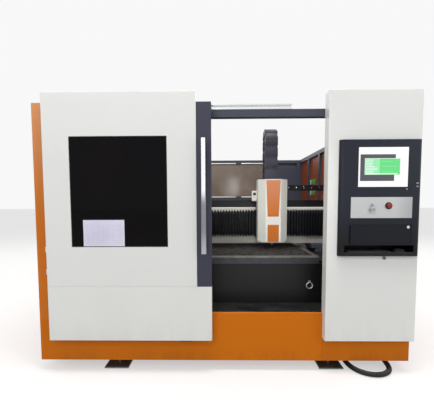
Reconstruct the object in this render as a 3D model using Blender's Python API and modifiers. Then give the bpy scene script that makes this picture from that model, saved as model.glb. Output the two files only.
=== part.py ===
# Fibre laser cutting machine: a cabin with a sliding front door, an operator column and a gantry inside.
# Metres, +Z up. X runs along the gantry beam, Y runs into the cabin, the floor is Z = 0.
# All places are given from the centre line, the face of the front door and the floor. One empty then
# moves everything so that the whole machine stands centred on the world origin.

import math

import bmesh
import bpy
from mathutils import Matrix, Vector

# Common sizes
GAP = 0.0003                   # between pieces that touch
OVERRUN = 0.02                 # how far a cutter reaches past the face it cuts
WELD_REACH = 0.0001
EDGE_SOFT = 0.003              # rounding of the folded panels' edges
ROUND_SIDES = 32
SMALL_SIDES = 20

# Base and cabin
BODY_HALF = 1.515              # half the outer width
BODY_FRONT = 0.07              # the orange front lies this far behind the door's face
BODY_LENGTH = 3.73
UNDERSIDE = 0.09               # clear height under the base, bridged by the feet
BASE_TOP = 0.43
BASE_WALL = 0.05
BASE_FLOOR = 0.02
SILL_TOP = 0.485
SILL_DEPTH = 0.04
SEAM_WIDTH = 0.004
SEAM_DEPTH = 0.003
WALL_DROP = 0.06                # the walls end this far below the door's top
WALL_SKIN = 0.004
POST_WIDTH = 0.06
POST_DEPTH = 0.034
PANEL_RISE = 0.004              # how far the cladding panels stand out of the skin
PANEL_SET_BACK = 0.002          # from the body's side to the panels
PANEL_GAP = 0.005               # between neighbouring panels
SIDE_BAYS = 6
CORNER_POST_WIDTH = 0.105
CORNER_POST_DEPTH = 0.06
DUCT_RADIUS = 0.09
DUCT_WALL = 0.004
DUCT_LENGTH = 0.06
DUCT_INSET = 0.215              # insets are measured in from the body's side
DUCT_Z = 0.25

# Rear wall
REAR_BAYS = 3
REAR_WINDOW_LEFT_INSET = 0.315
REAR_WINDOW_RIGHT_INSET = 0.715
REAR_WINDOW_HEIGHT = 0.64
REAR_WINDOW_DROP = 0.06         # below the wall's top
REAR_WINDOW_THICK = 0.006
REAR_TRIM = 0.012
REAR_CLIP_SIZE = 0.08
REAR_CLIP_HEIGHT = 0.025
REAR_CLIP_SHARES = (0.25, 0.75)

# Front: header, rail, fixed panel behind the door
HEADER_DROP = 0.053             # below the wall's top
HEADER_HEIGHT = 0.062
HEADER_DEPTH = 0.06
RAIL_HEIGHT = 0.043
RAIL_DEPTH = 0.034
RAIL_WALL = 0.004
RAIL_INSET = 0.965
OPENING_LEFT = -0.46
FRONT_PANEL_THICK = 0.03
FIELD_MARGIN = 0.08            # plain border around the sunk field of the fixed panel
FIELD_DEPTH = 0.006

# Sliding door, shown open
DOOR_INSET = 0.112
DOOR_RIGHT = -0.09
DOOR_LOW = 0.284
DOOR_SEAM = 0.723
DOOR_TOP = 2.24
DOOR_THICK = 0.055
DOOR_CLOSE_PLAY = 0.007         # left between the closed door and the column
STILE_WIDTH = 0.117
STILE_DROP = 0.078              # below the door's top
STILE_SET_BACK = 0.006
WINDOW_BORDER = 0.208           # from the door's left edge to the window
WINDOW_RIGHT = -0.433
WINDOW_LOW = 1.043
WINDOW_DROP = 0.335             # below the door's top
WINDOW_THICK = 0.006
WINDOW_SET_BACK = 0.002
WINDOW_REBATE = 0.015
HANDLE_LOW = 0.995
HANDLE_DROP = 0.284             # below the stile's top
HANDLE_WIDTH = 0.038
HANDLE_PROUD = 0.06            # how far the handle stands in front of the door's face
HANDLE_THICK = 0.012
HANDLE_LIP = 0.022
HANDLE_POST = 0.024
HANDLE_POST_SHARES = (0.12, 0.88)
GUIDE_X = -0.30
GUIDE_WIDTH = 0.10
GUIDE_SLOT_WIDTH = 0.018
GUIDE_SLOT_DEPTH = 0.03
GUIDE_PLAY = 0.0015
GUIDE_ARM = 0.016
HANGER_WIDTH = 0.16
HANGER_PLATE = 0.008
HANGER_HEIGHT = 0.10
HANGER_SHARES = (0.12, 0.78)
SHOE_WIDTH = 0.12

# Operator column and console
COLUMN_WIDTH = 0.708
COLUMN_DEPTH = 0.10
CONSOLE_WIDTH = 0.620
CONSOLE_INSET = 0.007
CONSOLE_HEIGHT = 0.888
CONSOLE_DROP = 0.378            # below the column's top; the next drops are below the console's top
CONSOLE_PROUD = 0.03
CONSOLE_DEPTH = 0.25
CONSOLE_ROUND = 0.028
COLUMN_SHEET = 0.004
LOCK_INSET = 0.260
LOCK_BELOW = 0.020              # under the console
LOCK_RADIUS = 0.009
LOCK_PROUD = 0.004
LOCK_CAM = 0.030
LOCK_CAM_THICK = 0.003
LOCK_SLOT = 0.002
SCREEN_WIDTH = 0.376
SCREEN_HEIGHT = 0.301
SCREEN_INSET = 0.300
SCREEN_DROP = 0.207
SCREEN_THICK = 0.018
SCREEN_SET_BACK = 0.004
SCREEN_FRAME = 0.004
PLATE_WIDTH = 0.465
PLATE_INSET = 0.075
PLATE_HEIGHT = 0.160
PLATE_DROP = 0.434
PLATE_THICK = 0.003
KEY_INSET = 0.376
KEY_DROP = 0.494
KEY_RADIUS = 0.011
KEY_REACH = 0.006
KEY_BLADE = 0.0025
KEY_HEAD = 0.009
STOP_INSET = 0.253
STOP_DROP = 0.500
STOP_RADIUS = 0.021
STOP_STEM = 0.008
STOP_HEAD = 0.013
STOP_TRAVEL = 0.004
STOP_STAND = 0.006
HOLE_PLAY = 0.0005
HOLE_DEPTH = 0.03
FLAP_WIDTH = 0.459
FLAP_INSET = 0.075
FLAP_HEIGHT = 0.145
FLAP_DROP = 0.647
FLAP_THICK = 0.008
FLAP_SET_BACK = 0.001
FLAP_PLAY = 0.002
FLAP_BARREL = 0.008
FLAP_KNOB = 0.011
FLAP_KNOB_REACH = 0.012
FLAP_KNOB_INSET = 0.104
FLAP_KNOB_DROP = 0.663
BAY_MARGIN = 0.012
BAY_DEPTH = 0.16
TRAY_BAY_RISE = 0.012           # above the console's underside
TRAY_BAY_HEIGHT = 0.072
TRAY_BAY_SIDE = 0.045
TRAY_BAY_DEPTH = 0.215
TRAY_THICK = 0.006
TRAY_LIP = 0.012
TRAY_PLAY = 0.002
KEYBOARD_WIDTH = 0.340
KEYBOARD_DEPTH = 0.125
KEYBOARD_THICK = 0.012
KEYBOARD_INSET = 0.550          # of its left edge
KEYBOARD_FRONT = 0.012
KEY_ROWS = 4
KEY_COLUMNS = 12
KEY_SPACE = 0.003
KEY_CAP_HEIGHT = 0.006
KEY_SINK = 0.001

# Bed
BED_FRONT = 0.36
BED_REAR_SPACE = 0.07          # between the bed and the outside of the rear wall
SIDE_BEAM_WIDTH = 0.26
BED_SIDE_SPACE = 0.395          # from the body's side to the bed
BED_TOP = 0.86
CROSS_TOP = 0.84
CROSS_THICK = 0.06
LEDGE_THICK = 0.015
SUPPORT_WIDTH = 0.06
SUPPORT_THICK = 0.02
EYE_INSET = 0.741
EYE_Z = 0.644
EYE_RADIUS = 0.027
EYE_WIRE = 0.006
EYE_LUG = 0.018
SLAT_TOP = 0.915
SLAT_FRAME_TOP = 0.905
SLAT_BAR = 0.05
SLAT_THICK = 0.005
SLAT_COUNT = 22
SLAT_TEETH = 22
SLAT_TOOTH = 0.022
SLAT_LENGTH_END = 3.60
Y_RAIL_INSET = 0.10             # from the bed's side to the rail's middle
Y_RAIL_WIDTH = 0.03
Y_RAIL_HEIGHT = 0.03
Y_RAIL_WAIST = 0.005
Y_RAIL_FRONT_SPARE = 0.03       # rail left over beyond the saddle at the ends of its travel
Y_RAIL_REAR_SPARE = 0.01
RACK_WIDTH = 0.022
RACK_HEIGHT = 0.030
RACK_DROP = 0.010

# Gantry
BEAM_SHORT = 0.005              # the beam ends this far inside the bed's sides
BEAM_FRONT = 0.96
BEAM_DEPTH = 0.24
BEAM_LOW = 0.947
BEAM_HIGH = 1.335
BEAM_RELIEF = 0.012            # depth of the sunk field in the beam's back
X_GUIDE_WIDTH = 0.024
X_GUIDE_DEPTH = 0.016
X_GUIDE_HEIGHTS = (1.095, 1.246)
BELLOWS_LOW = 1.043
BELLOWS_HIGH = 1.298
BELLOWS_DEPTH = 0.07
BELLOWS_FOLD = 0.024
BELLOWS_PITCH = 0.0296
BELLOWS_SKIN = 0.003
END_FLANGE = 0.03
SADDLE_WIDTH = 0.32
SADDLE_REACH = 0.13             # beyond the bed's side, to carry the motor
SADDLE_FRONT = 0.88
SADDLE_LENGTH = 0.38
SADDLE_THICK = 0.04
SADDLE_SHOE_CLEAR = 0.004
SADDLE_SHOE_HALF = 0.05
MOTOR_SIZE = 0.11
MOTOR_HEIGHT = 0.20
MOTOR_FLANGE = 0.018
MOTOR_CAP = 0.045
PINION_RADIUS = 0.030
PINION_TEETH = 20
PINION_TOOTH = 0.006
SHAFT_RADIUS = 0.012
SHAFT_PLAY = 0.002
DRIVE_Y = 1.07
GANTRY_FORWARD = 0.45
GANTRY_BACK = 2.45

# X cable chain and its tray
TRAY_FRONT = 1.02
CHAIN_TRAY_WIDTH = 0.12
CHAIN_TRAY_HEIGHT = 0.075
CHAIN_TRAY_WALL = 0.003
X_CHAIN_WIDTH = 0.10
X_CHAIN_THICK = 0.060
X_CHAIN_PITCH = 0.088
X_CHAIN_HIGH = 1.545
X_CHAIN_BEND_REACH = 0.015      # of the bend's axis beyond the beam's end
X_CHAIN_ANCHOR_SHIFT = 0.098    # of the fixed end from the middle of the travel
LINK_PLATE = 0.008
LINK_BAR = 0.006
LINK_STEP = 0.002              # how much lower the inner links are
LINK_PIN_RADIUS = 0.009
LINK_PIN_PROUD = 0.003
LINK_PIN_SIDES = 6
LINK_END_STEPS = 3

# Carriage, head cover and cutting head
HEAD_X = 0.498
CARRIAGE_WIDTH = 0.294
CARRIAGE_THICK = 0.055
CARRIAGE_LOW = 1.030
SLIDER_TOP_SPARE = 0.065        # guide left over above the slider at its highest
COVER_FRONT = 0.70
COVER_HIGH = 1.617
COVER_CORNER_WIDTH = 0.070
COVER_CORNER_DEPTH = 0.060
COVER_SHEET = 0.003
STRIP_THICK = 0.003
STRIP_SIDE = 0.003
ARM_LOW = 1.500
ARM_HIGH = 1.588
ARM_RIGHT = 0.190              # beyond the head's centre line
MODULE_WIDTH = 0.140
MODULE_DEPTH = 0.035
SLIDER_WIDTH = 0.120
SLIDER_THICK = 0.030
SLIDER_LOW = 1.060
SLIDER_HIGH = 1.420
HEAD_Y = 0.775
HEAD_TOP = 1.470
HEAD_RADIUS = 0.034
HEAD_FLANGE_RADIUS = 0.044
HEAD_NECK_RADIUS = 0.022
HEAD_LOW = 0.972
HEAD_FLANGE_LOW_SHARES = (0.30, 0.62)
HEAD_FLANGE_SHARE = 0.05
HEAD_CONE_SHARE = 0.16
NOZZLE_TOP_RADIUS = 0.016
NOZZLE_TIP_RADIUS = 0.004
NOZZLE_TIP = 0.938
NOZZLE_BORE = 0.0015
Z_UP = 0.105
Z_DOWN = 0.015
HEAD_LEFT_TRAVEL = 1.25
HEAD_RIGHT_TRAVEL = 0.25
SENSOR_WIDTH = 0.050
SENSOR_DEPTH = 0.050
SENSOR_LOW = 1.402
SENSOR_HIGH = 1.507
SENSOR_SET_BACK = 0.14
SENSOR_LENS = 0.012

# Cable chain that stands over the head
Z_CHAIN_WIDTH = 0.130
Z_CHAIN_THICK = 0.050
Z_CHAIN_PITCH = 0.062
Z_CHAIN_FRONT = 0.868
Z_CHAIN_LOOP = 0.185
Z_CHAIN_TOP = 2.150

# Scrap drawer
DRAWER_SIDE_SPACE = 0.08
DRAWER_HELD = 0.28              # length still inside when it is pulled out
DRAWER_TOP = 0.40
DRAWER_WALL = 0.006
DRAWER_OPENING_PLAY = 0.008
DRAWER_PULL_WIDTH = 0.30
DRAWER_PULL_WIRE = 0.008
DRAWER_PULL_REACH = 0.045
DRAWER_TRAVEL = 1.50

# Levelling feet
FOOT_INSET = 0.615
FOOT_Y = (0.20, 1.93, 3.66)
FOOT_PLATE = 0.20
FOOT_PLATE_THICK = 0.012
FOOT_SCREW = 0.014
FOOT_NUT = 0.024
FOOT_NUT_HEIGHT = 0.014

# Hose under the right front corner. The route's points are chosen by hand and hold as they are.
HOSE_RADIUS = 0.021
HOSE_STEPS = 4
GLAND_WIDTH = 0.064
GLAND_LENGTH = 0.05
GLAND_HEIGHT = 0.072
GLAND_NUT_RADIUS = 0.0265
GLAND_NUT_LENGTH = 0.022
# Inset from the body's right side, place along the machine, height
HOSE_POINTS = [
    (0.470, 0.4200, 0.0480), (0.470, 0.3600, 0.0470), (0.470, 0.2900, 0.0410), (0.469, 0.2200, 0.0310),
    (0.463, 0.1500, 0.0240), (0.445, 0.0880, 0.0214), (0.411, 0.0330, 0.0214), (0.363, -0.0040, 0.0214),
    (0.305, -0.0200, 0.0214), (0.247, -0.0130, 0.0214), (0.195, 0.0170, 0.0214), (0.157, 0.0640, 0.0214),
    (0.136, 0.1220, 0.0214), (0.129, 0.1850, 0.0250), (0.128, 0.2500, 0.0340), (0.128, 0.3200, 0.0430),
    (0.128, 0.3800, 0.0475), (0.128, 0.4200, 0.0480),
]

# Worked out from the sizes above
BODY_REAR = BODY_FRONT + BODY_LENGTH
FLOOR_TOP = UNDERSIDE + BASE_FLOOR
WALL_TOP = DOOR_TOP - WALL_DROP
WALL_OUTER = BODY_HALF - PANEL_SET_BACK - PANEL_RISE
WALL_INNER = WALL_OUTER - WALL_SKIN - POST_DEPTH
REAR_OUTER = BODY_REAR - PANEL_SET_BACK - PANEL_RISE
REAR_INNER = REAR_OUTER - WALL_SKIN - POST_DEPTH
REAR_WINDOW_LEFT = REAR_WINDOW_LEFT_INSET - BODY_HALF
REAR_WINDOW_RIGHT = BODY_HALF - REAR_WINDOW_RIGHT_INSET
REAR_WINDOW_HIGH = WALL_TOP - REAR_WINDOW_DROP
REAR_WINDOW_LOW = REAR_WINDOW_HIGH - REAR_WINDOW_HEIGHT
DUCT_X = DUCT_INSET - BODY_HALF
FOOT_X = BODY_HALF - FOOT_INSET
HEADER_FRONT = COLUMN_DEPTH + GAP
HEADER_REAR = HEADER_FRONT + HEADER_DEPTH
HEADER_HIGH = WALL_TOP - HEADER_DROP
HEADER_LOW = HEADER_HIGH - HEADER_HEIGHT
RAIL_RIGHT = BODY_HALF - RAIL_INSET
DOOR_LEFT = DOOR_INSET - BODY_HALF
COLUMN_LEFT = BODY_HALF - COLUMN_WIDTH
DOOR_TRAVEL = COLUMN_LEFT - DOOR_RIGHT - DOOR_CLOSE_PLAY
STILE_TOP = DOOR_TOP - STILE_DROP
WINDOW_LEFT = DOOR_LEFT + WINDOW_BORDER
WINDOW_HIGH = DOOR_TOP - WINDOW_DROP
HANDLE_HIGH = STILE_TOP - HANDLE_DROP
CONSOLE_RIGHT = BODY_HALF - CONSOLE_INSET
CONSOLE_LEFT = CONSOLE_RIGHT - CONSOLE_WIDTH
CONSOLE_HIGH = DOOR_TOP - CONSOLE_DROP
CONSOLE_LOW = CONSOLE_HIGH - CONSOLE_HEIGHT
LOCK_X, LOCK_Z = BODY_HALF - LOCK_INSET, CONSOLE_LOW - LOCK_BELOW
SCREEN_X, SCREEN_Z = BODY_HALF - SCREEN_INSET, CONSOLE_HIGH - SCREEN_DROP
PLATE_RIGHT, PLATE_HIGH = BODY_HALF - PLATE_INSET, CONSOLE_HIGH - PLATE_DROP
PLATE_LEFT, PLATE_LOW = PLATE_RIGHT - PLATE_WIDTH, PLATE_HIGH - PLATE_HEIGHT
KEY_X, KEY_Z = BODY_HALF - KEY_INSET, CONSOLE_HIGH - KEY_DROP
STOP_X, STOP_Z = BODY_HALF - STOP_INSET, CONSOLE_HIGH - STOP_DROP
FLAP_RIGHT, FLAP_HIGH = BODY_HALF - FLAP_INSET, CONSOLE_HIGH - FLAP_DROP
FLAP_LEFT, FLAP_LOW = FLAP_RIGHT - FLAP_WIDTH, FLAP_HIGH - FLAP_HEIGHT
FLAP_KNOB_X, FLAP_KNOB_Z = BODY_HALF - FLAP_KNOB_INSET, CONSOLE_HIGH - FLAP_KNOB_DROP
TRAY_BAY_LOW = CONSOLE_LOW + TRAY_BAY_RISE
TRAY_BAY_HIGH = TRAY_BAY_LOW + TRAY_BAY_HEIGHT
KEYBOARD_LEFT = BODY_HALF - KEYBOARD_INSET
BEAM_OUTER = BODY_HALF - BED_SIDE_SPACE
BEAM_INNER = BEAM_OUTER - SIDE_BEAM_WIDTH
BEAM_HALF = BEAM_OUTER - BEAM_SHORT
EYE_X = BODY_HALF - EYE_INSET
DRAWER_HALF = BEAM_INNER - DRAWER_SIDE_SPACE
DRAWER_LENGTH = DRAWER_TRAVEL + DRAWER_HELD
Y_RAIL_X = BEAM_OUTER - Y_RAIL_INSET
Y_RAIL_START = SADDLE_FRONT - GANTRY_FORWARD - Y_RAIL_FRONT_SPARE
Y_RAIL_END = SADDLE_FRONT + SADDLE_LENGTH + GANTRY_BACK + Y_RAIL_REAR_SPARE
SADDLE_OUTER = BEAM_OUTER + SADDLE_REACH
SADDLE_INNER = SADDLE_OUTER - SADDLE_WIDTH
X_CHAIN_BEND_X = BEAM_HALF + X_CHAIN_BEND_REACH
X_CHAIN_ANCHOR = HEAD_X + (HEAD_RIGHT_TRAVEL - HEAD_LEFT_TRAVEL) / 2 - X_CHAIN_ANCHOR_SHIFT
CARRIAGE_HIGH = SLIDER_HIGH + Z_UP + SLIDER_TOP_SPARE
COVER_LOW = HEAD_LOW + Z_DOWN
BED_REAR = BODY_REAR - BED_REAR_SPACE
BEAM_REAR = BEAM_FRONT + BEAM_DEPTH
MACHINE_MIDDLE = (BODY_REAR + DUCT_LENGTH - HANDLE_PROUD) / 2
CARRIAGE_LEFT = HEAD_X - CARRIAGE_WIDTH / 2
CARRIAGE_RIGHT = HEAD_X + CARRIAGE_WIDTH / 2
CARRIAGE_REAR = BEAM_FRONT - GAP
CARRIAGE_FRONT = CARRIAGE_REAR - CARRIAGE_THICK
COVER_REAR = CARRIAGE_FRONT - GAP
TRAY_TOP = BEAM_HIGH + GAP + CHAIN_TRAY_HEIGHT
X_CHAIN_LOW = BEAM_HIGH + GAP + CHAIN_TRAY_WALL + GAP + X_CHAIN_THICK / 2
CONSOLE_FRONT = -CONSOLE_PROUD
CONSOLE_BOX_RIGHT = WALL_INNER - GAP * 2
FLAP_FRONT = CONSOLE_FRONT + FLAP_SET_BACK
FLAP_AXIS = Vector((FLAP_LEFT, CONSOLE_FRONT - FLAP_BARREL - GAP * 2, (FLAP_LOW + FLAP_HIGH) / 2))
RACK_INNER = BEAM_OUTER + GAP
RACK_HIGH = BED_TOP - RACK_DROP
PINION_X = RACK_INNER + RACK_WIDTH + GAP + PINION_RADIUS
SADDLE_TOP = BEAM_LOW - GAP
SADDLE_LOW = SADDLE_TOP - SADDLE_THICK

# Colours (linear), roughness, metallic
PAINTS = {
    "orange_paint": ((0.565, 0.165, 0.006), 0.42, 0.0),
    "white_paint": ((0.760, 0.765, 0.750), 0.40, 0.0),
    "dark_paint": ((0.048, 0.053, 0.070), 0.45, 0.0),
    "black_paint": ((0.012, 0.012, 0.013), 0.55, 0.0),
    "grey_paint": ((0.420, 0.410, 0.390), 0.50, 0.0),
    "slat_steel": ((0.070, 0.055, 0.043), 0.70, 0.6),
    "rail_steel": ((0.560, 0.570, 0.580), 0.25, 1.0),
    "brushed_steel": ((0.600, 0.610, 0.620), 0.32, 1.0),
    "plate_aluminium": ((0.530, 0.560, 0.570), 0.40, 0.7),
    "dark_glass": ((0.004, 0.004, 0.005), 0.05, 0.0),
    "bronze_glass": ((0.150, 0.105, 0.075), 0.20, 0.0),
    "screen_face": ((0.700, 0.720, 0.710), 0.20, 0.0),
    "black_plastic": ((0.015, 0.015, 0.017), 0.50, 0.0),
    "black_rubber": ((0.010, 0.010, 0.010), 0.75, 0.0),
    "bellows_cloth": ((0.008, 0.008, 0.010), 0.65, 0.0),
    "chain_plastic": ((0.058, 0.056, 0.085), 0.50, 0.0),
    "stop_red": ((0.330, 0.016, 0.020), 0.35, 0.0),
    "copper": ((0.700, 0.310, 0.160), 0.25, 1.0),
    "foot_steel": ((0.230, 0.260, 0.230), 0.50, 0.8),
}


def clear_scene():
    for item in list(bpy.data.objects):
        bpy.data.objects.remove(item, do_unlink=True)


def make_collection(name):
    group = bpy.data.collections.new(name)
    bpy.context.scene.collection.children.link(group)
    return group


def make_paints():
    paints = {}
    for name, (colour, roughness, metallic) in PAINTS.items():
        paint = bpy.data.materials.new(name)
        paint.use_nodes = True
        shader = paint.node_tree.nodes["Principled BSDF"]
        shader.inputs["Base Color"].default_value = (*colour, 1)
        shader.inputs["Roughness"].default_value = roughness
        shader.inputs["Metallic"].default_value = metallic
        paint.diffuse_color = (*colour, 1)
        paints[name] = paint
    return paints


# Mesh makers: each one returns a closed mesh in machine coordinates

def mesh_from(bm, name):
    mesh = bpy.data.meshes.new(name)
    bm.to_mesh(mesh)
    bm.free()
    return mesh


def box_into(bm, low, high):
    low, high = Vector(low), Vector(high)
    size = high - low
    place = Matrix.Translation((low + high) / 2) @ Matrix.Diagonal((*size, 1))
    return bmesh.ops.create_cube(bm, size=1, matrix=place)["verts"]


def boxes(*corner_pairs):
    bm = bmesh.new()
    for low, high in corner_pairs:
        box_into(bm, low, high)
    return mesh_from(bm, "boxes")


def soft_box(low, high, soft=EDGE_SOFT, axes="XYZ", steps=2):
    bm = bmesh.new()
    box_into(bm, low, high)
    chosen = []
    for edge in bm.edges:
        way = (edge.verts[1].co - edge.verts[0].co).normalized()
        if any(abs(way["XYZ".index(axis)]) > 1 / 2 for axis in axes):
            chosen.append(edge)
    bmesh.ops.bevel(bm, geom=chosen, offset=soft, segments=steps, profile=1 / 2, affect="EDGES")
    return mesh_from(bm, "soft_box")


def turn_to(axis):
    return {"Z": Matrix.Identity(4), "X": Matrix.Rotation(math.pi / 2, 4, "Y"),
            "Y": Matrix.Rotation(-math.pi / 2, 4, "X")}[axis]


def rod_into(bm, start, axis, length, radius, end_radius=None, sides=SMALL_SIDES):
    place = Matrix.Translation(start) @ turn_to(axis) @ Matrix.Translation((0, 0, length / 2))
    bmesh.ops.create_cone(bm, cap_ends=True, segments=sides, radius1=radius,
                          radius2=radius if end_radius is None else end_radius, depth=length, matrix=place)


def rods(*specs):
    bm = bmesh.new()
    for spec in specs:
        rod_into(bm, *spec)
    return mesh_from(bm, "rods")


def prism(points, axis, start, length):
    """A flat outline in the plane across the axis, drawn out along it."""
    bm = bmesh.new()
    order = {"X": (1, 2, 0), "Y": (0, 2, 1), "Z": (0, 1, 2)}[axis]

    def corner(point, along):
        place = [0, 0, 0]
        place[order[0]], place[order[1]], place[order[2]] = point[0], point[1], along
        return bm.verts.new(place)

    face = bm.faces.new([corner(point, start) for point in points])
    drawn = bmesh.ops.extrude_face_region(bm, geom=[face])
    moved = [item for item in drawn["geom"] if isinstance(item, bmesh.types.BMVert)]
    step = [0, 0, 0]
    step[order[2]] = length
    bmesh.ops.translate(bm, verts=moved, vec=step)
    bmesh.ops.recalc_face_normals(bm, faces=bm.faces)
    return mesh_from(bm, "prism")


# The machine as a set of objects

class Builder:
    def __init__(self):
        clear_scene()
        self.parts = make_collection("laser_cutting_machine")
        self.cutters = make_collection("cutters")
        self.paints = make_paints()
        self.datum = self.empty("machine_datum", (0, -MACHINE_MIDDLE, 0))
        self.frames = {}

    def empty(self, name, place):
        item = bpy.data.objects.new(name, None)
        item.location = place
        self.parts.objects.link(item)
        return item

    def moving_frame(self, name, place=(0, 0, 0), travel=None):
        frame = self.empty(name + "_axis", place)
        frame.parent = self.datum
        if travel:
            frame["travel_m"] = travel
        self.frames[name] = (frame, Vector(place))

    def part(self, name, mesh, paint, frame=None, smooth=False):
        """Adds a mesh given in machine coordinates, under the datum or under a moving frame."""
        mesh.name = name
        item = bpy.data.objects.new(name, mesh)
        self.parts.objects.link(item)
        if frame is None:
            item.parent = self.datum
        else:
            parent, place = self.frames[frame]
            mesh.transform(Matrix.Translation(-place))
            item.parent = parent
        if mesh.materials:
            mesh.materials.clear()
        mesh.materials.append(self.paints[paint])
        if smooth:
            mesh.shade_smooth()
            mesh.set_sharp_from_angle(angle=math.radians(40))
        return item

    def helper(self, mesh, label):
        item = bpy.data.objects.new(label, mesh)
        self.cutters.objects.link(item)
        item.parent = self.datum
        item.hide_render = True
        item.display_type = "WIRE"
        return item

    def boolean(self, item, mesh, operation):
        step = item.modifiers.new(operation.lower(), "BOOLEAN")
        step.operation = operation
        step.solver = "EXACT"
        step.object = self.helper(mesh, item.name + "_" + operation.lower())

    def add(self, item, *meshes):
        for mesh in meshes:
            self.boolean(item, mesh, "UNION")

    def cut(self, item, *meshes):
        for mesh in meshes:
            self.boolean(item, mesh, "DIFFERENCE")


def spread(start, end, count):
    """Evenly spread places from start to end, both included."""
    return [start + (end - start) * index / (count - 1) for index in range(count)]


# Base, walls and feet

def build_base(m):
    base = m.part("base_frame", boxes(
        ((-BODY_HALF, BODY_FRONT, UNDERSIDE), (BODY_HALF, BODY_REAR, BASE_TOP))), "orange_paint")
    m.add(base, boxes(((OPENING_LEFT + GAP, BODY_FRONT, FLOOR_TOP),
                       (COLUMN_LEFT - GAP, BODY_FRONT + SILL_DEPTH, SILL_TOP))))
    m.add(base, rods(((DUCT_X, BODY_REAR - BASE_WALL / 2, DUCT_Z), "Y", BASE_WALL / 2 + DUCT_LENGTH,
                      DUCT_RADIUS, None, ROUND_SIDES)))
    m.cut(base, boxes(((-BODY_HALF + BASE_WALL, BODY_FRONT + BASE_WALL, FLOOR_TOP),
                       (BODY_HALF - BASE_WALL, BODY_REAR - BASE_WALL, BASE_TOP + OVERRUN))))
    half = DRAWER_HALF + DRAWER_OPENING_PLAY
    m.cut(base, boxes(((-half, BODY_REAR - BASE_WALL - OVERRUN, FLOOR_TOP),
                       (half, BODY_REAR + OVERRUN, DRAWER_TOP + DRAWER_OPENING_PLAY))))
    m.cut(base, rods(((DUCT_X, BODY_REAR - BASE_WALL - OVERRUN, DUCT_Z), "Y",
                      BASE_WALL + DUCT_LENGTH + OVERRUN * 2, DUCT_RADIUS - DUCT_WALL, None, ROUND_SIDES)))
    m.cut(base, boxes(((COLUMN_LEFT, BODY_FRONT - OVERRUN, UNDERSIDE - OVERRUN),
                       (COLUMN_LEFT + SEAM_WIDTH, BODY_FRONT + SEAM_DEPTH, BASE_TOP + OVERRUN))))


def wall_frame(along_start, along_end, low, high, bays, inner, outer, axis):
    """Posts and rails of a wall, as two meshes: the posts, and the rails that close them."""
    posts, rails = [], []
    for place in spread(along_start, along_end - POST_WIDTH, bays + 1):
        posts.append((place, place + POST_WIDTH, low, high))
    rails.append((along_start, along_end, low, low + POST_WIDTH))
    rails.append((along_start, along_end, high - POST_WIDTH, high))

    def corners(a, b, bottom, top):
        if axis == "Y":
            return (inner, a, bottom), (outer, b, top)
        return (a, inner, bottom), (b, outer, top)

    return boxes(*[corners(*post) for post in posts]), boxes(*[corners(*rail) for rail in rails])


def cladding(fields, skin, outer, axis):
    """Folded panels that stand out of a wall's skin, one for each field, with gaps between them."""
    bm = bmesh.new()
    for start, end, low, high in fields:
        a, b = start + PANEL_GAP / 2, end - PANEL_GAP / 2
        bottom, top = low + PANEL_GAP / 2, high - PANEL_GAP / 2
        if axis == "Y":
            corners = (min(skin, outer), a, bottom), (max(skin, outer), b, top)
        else:
            corners = (a, min(skin, outer), bottom), (b, max(skin, outer), top)
        panel = soft_box(*corners, PANEL_RISE / 2, axis + "Z", 1)
        bm.from_mesh(panel)
        bpy.data.meshes.remove(panel)
    return mesh_from(bm, "panels")


def build_side_wall(m, name, side, start, panels_start):
    outer, skin, inner = side * WALL_OUTER, side * (WALL_OUTER - WALL_SKIN), side * WALL_INNER
    low = BASE_TOP + GAP
    wall = m.part(name, boxes(((min(outer, skin), start, low), (max(outer, skin), BODY_REAR, WALL_TOP))),
                  "orange_paint")
    mid_skin = (outer + skin) / 2
    posts, rails = wall_frame(start, BODY_REAR - POST_DEPTH, low, WALL_TOP, SIDE_BAYS,
                              min(inner, mid_skin), max(inner, mid_skin), "Y")
    m.add(wall, posts, rails)
    edges = spread(panels_start, BODY_REAR, SIDE_BAYS + 1)
    fields = [(a, b, low, WALL_TOP) for a, b in zip(edges, edges[1:])]
    m.add(wall, cladding(fields, mid_skin, side * (BODY_HALF - PANEL_SET_BACK), "Y"))
    return wall


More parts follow.
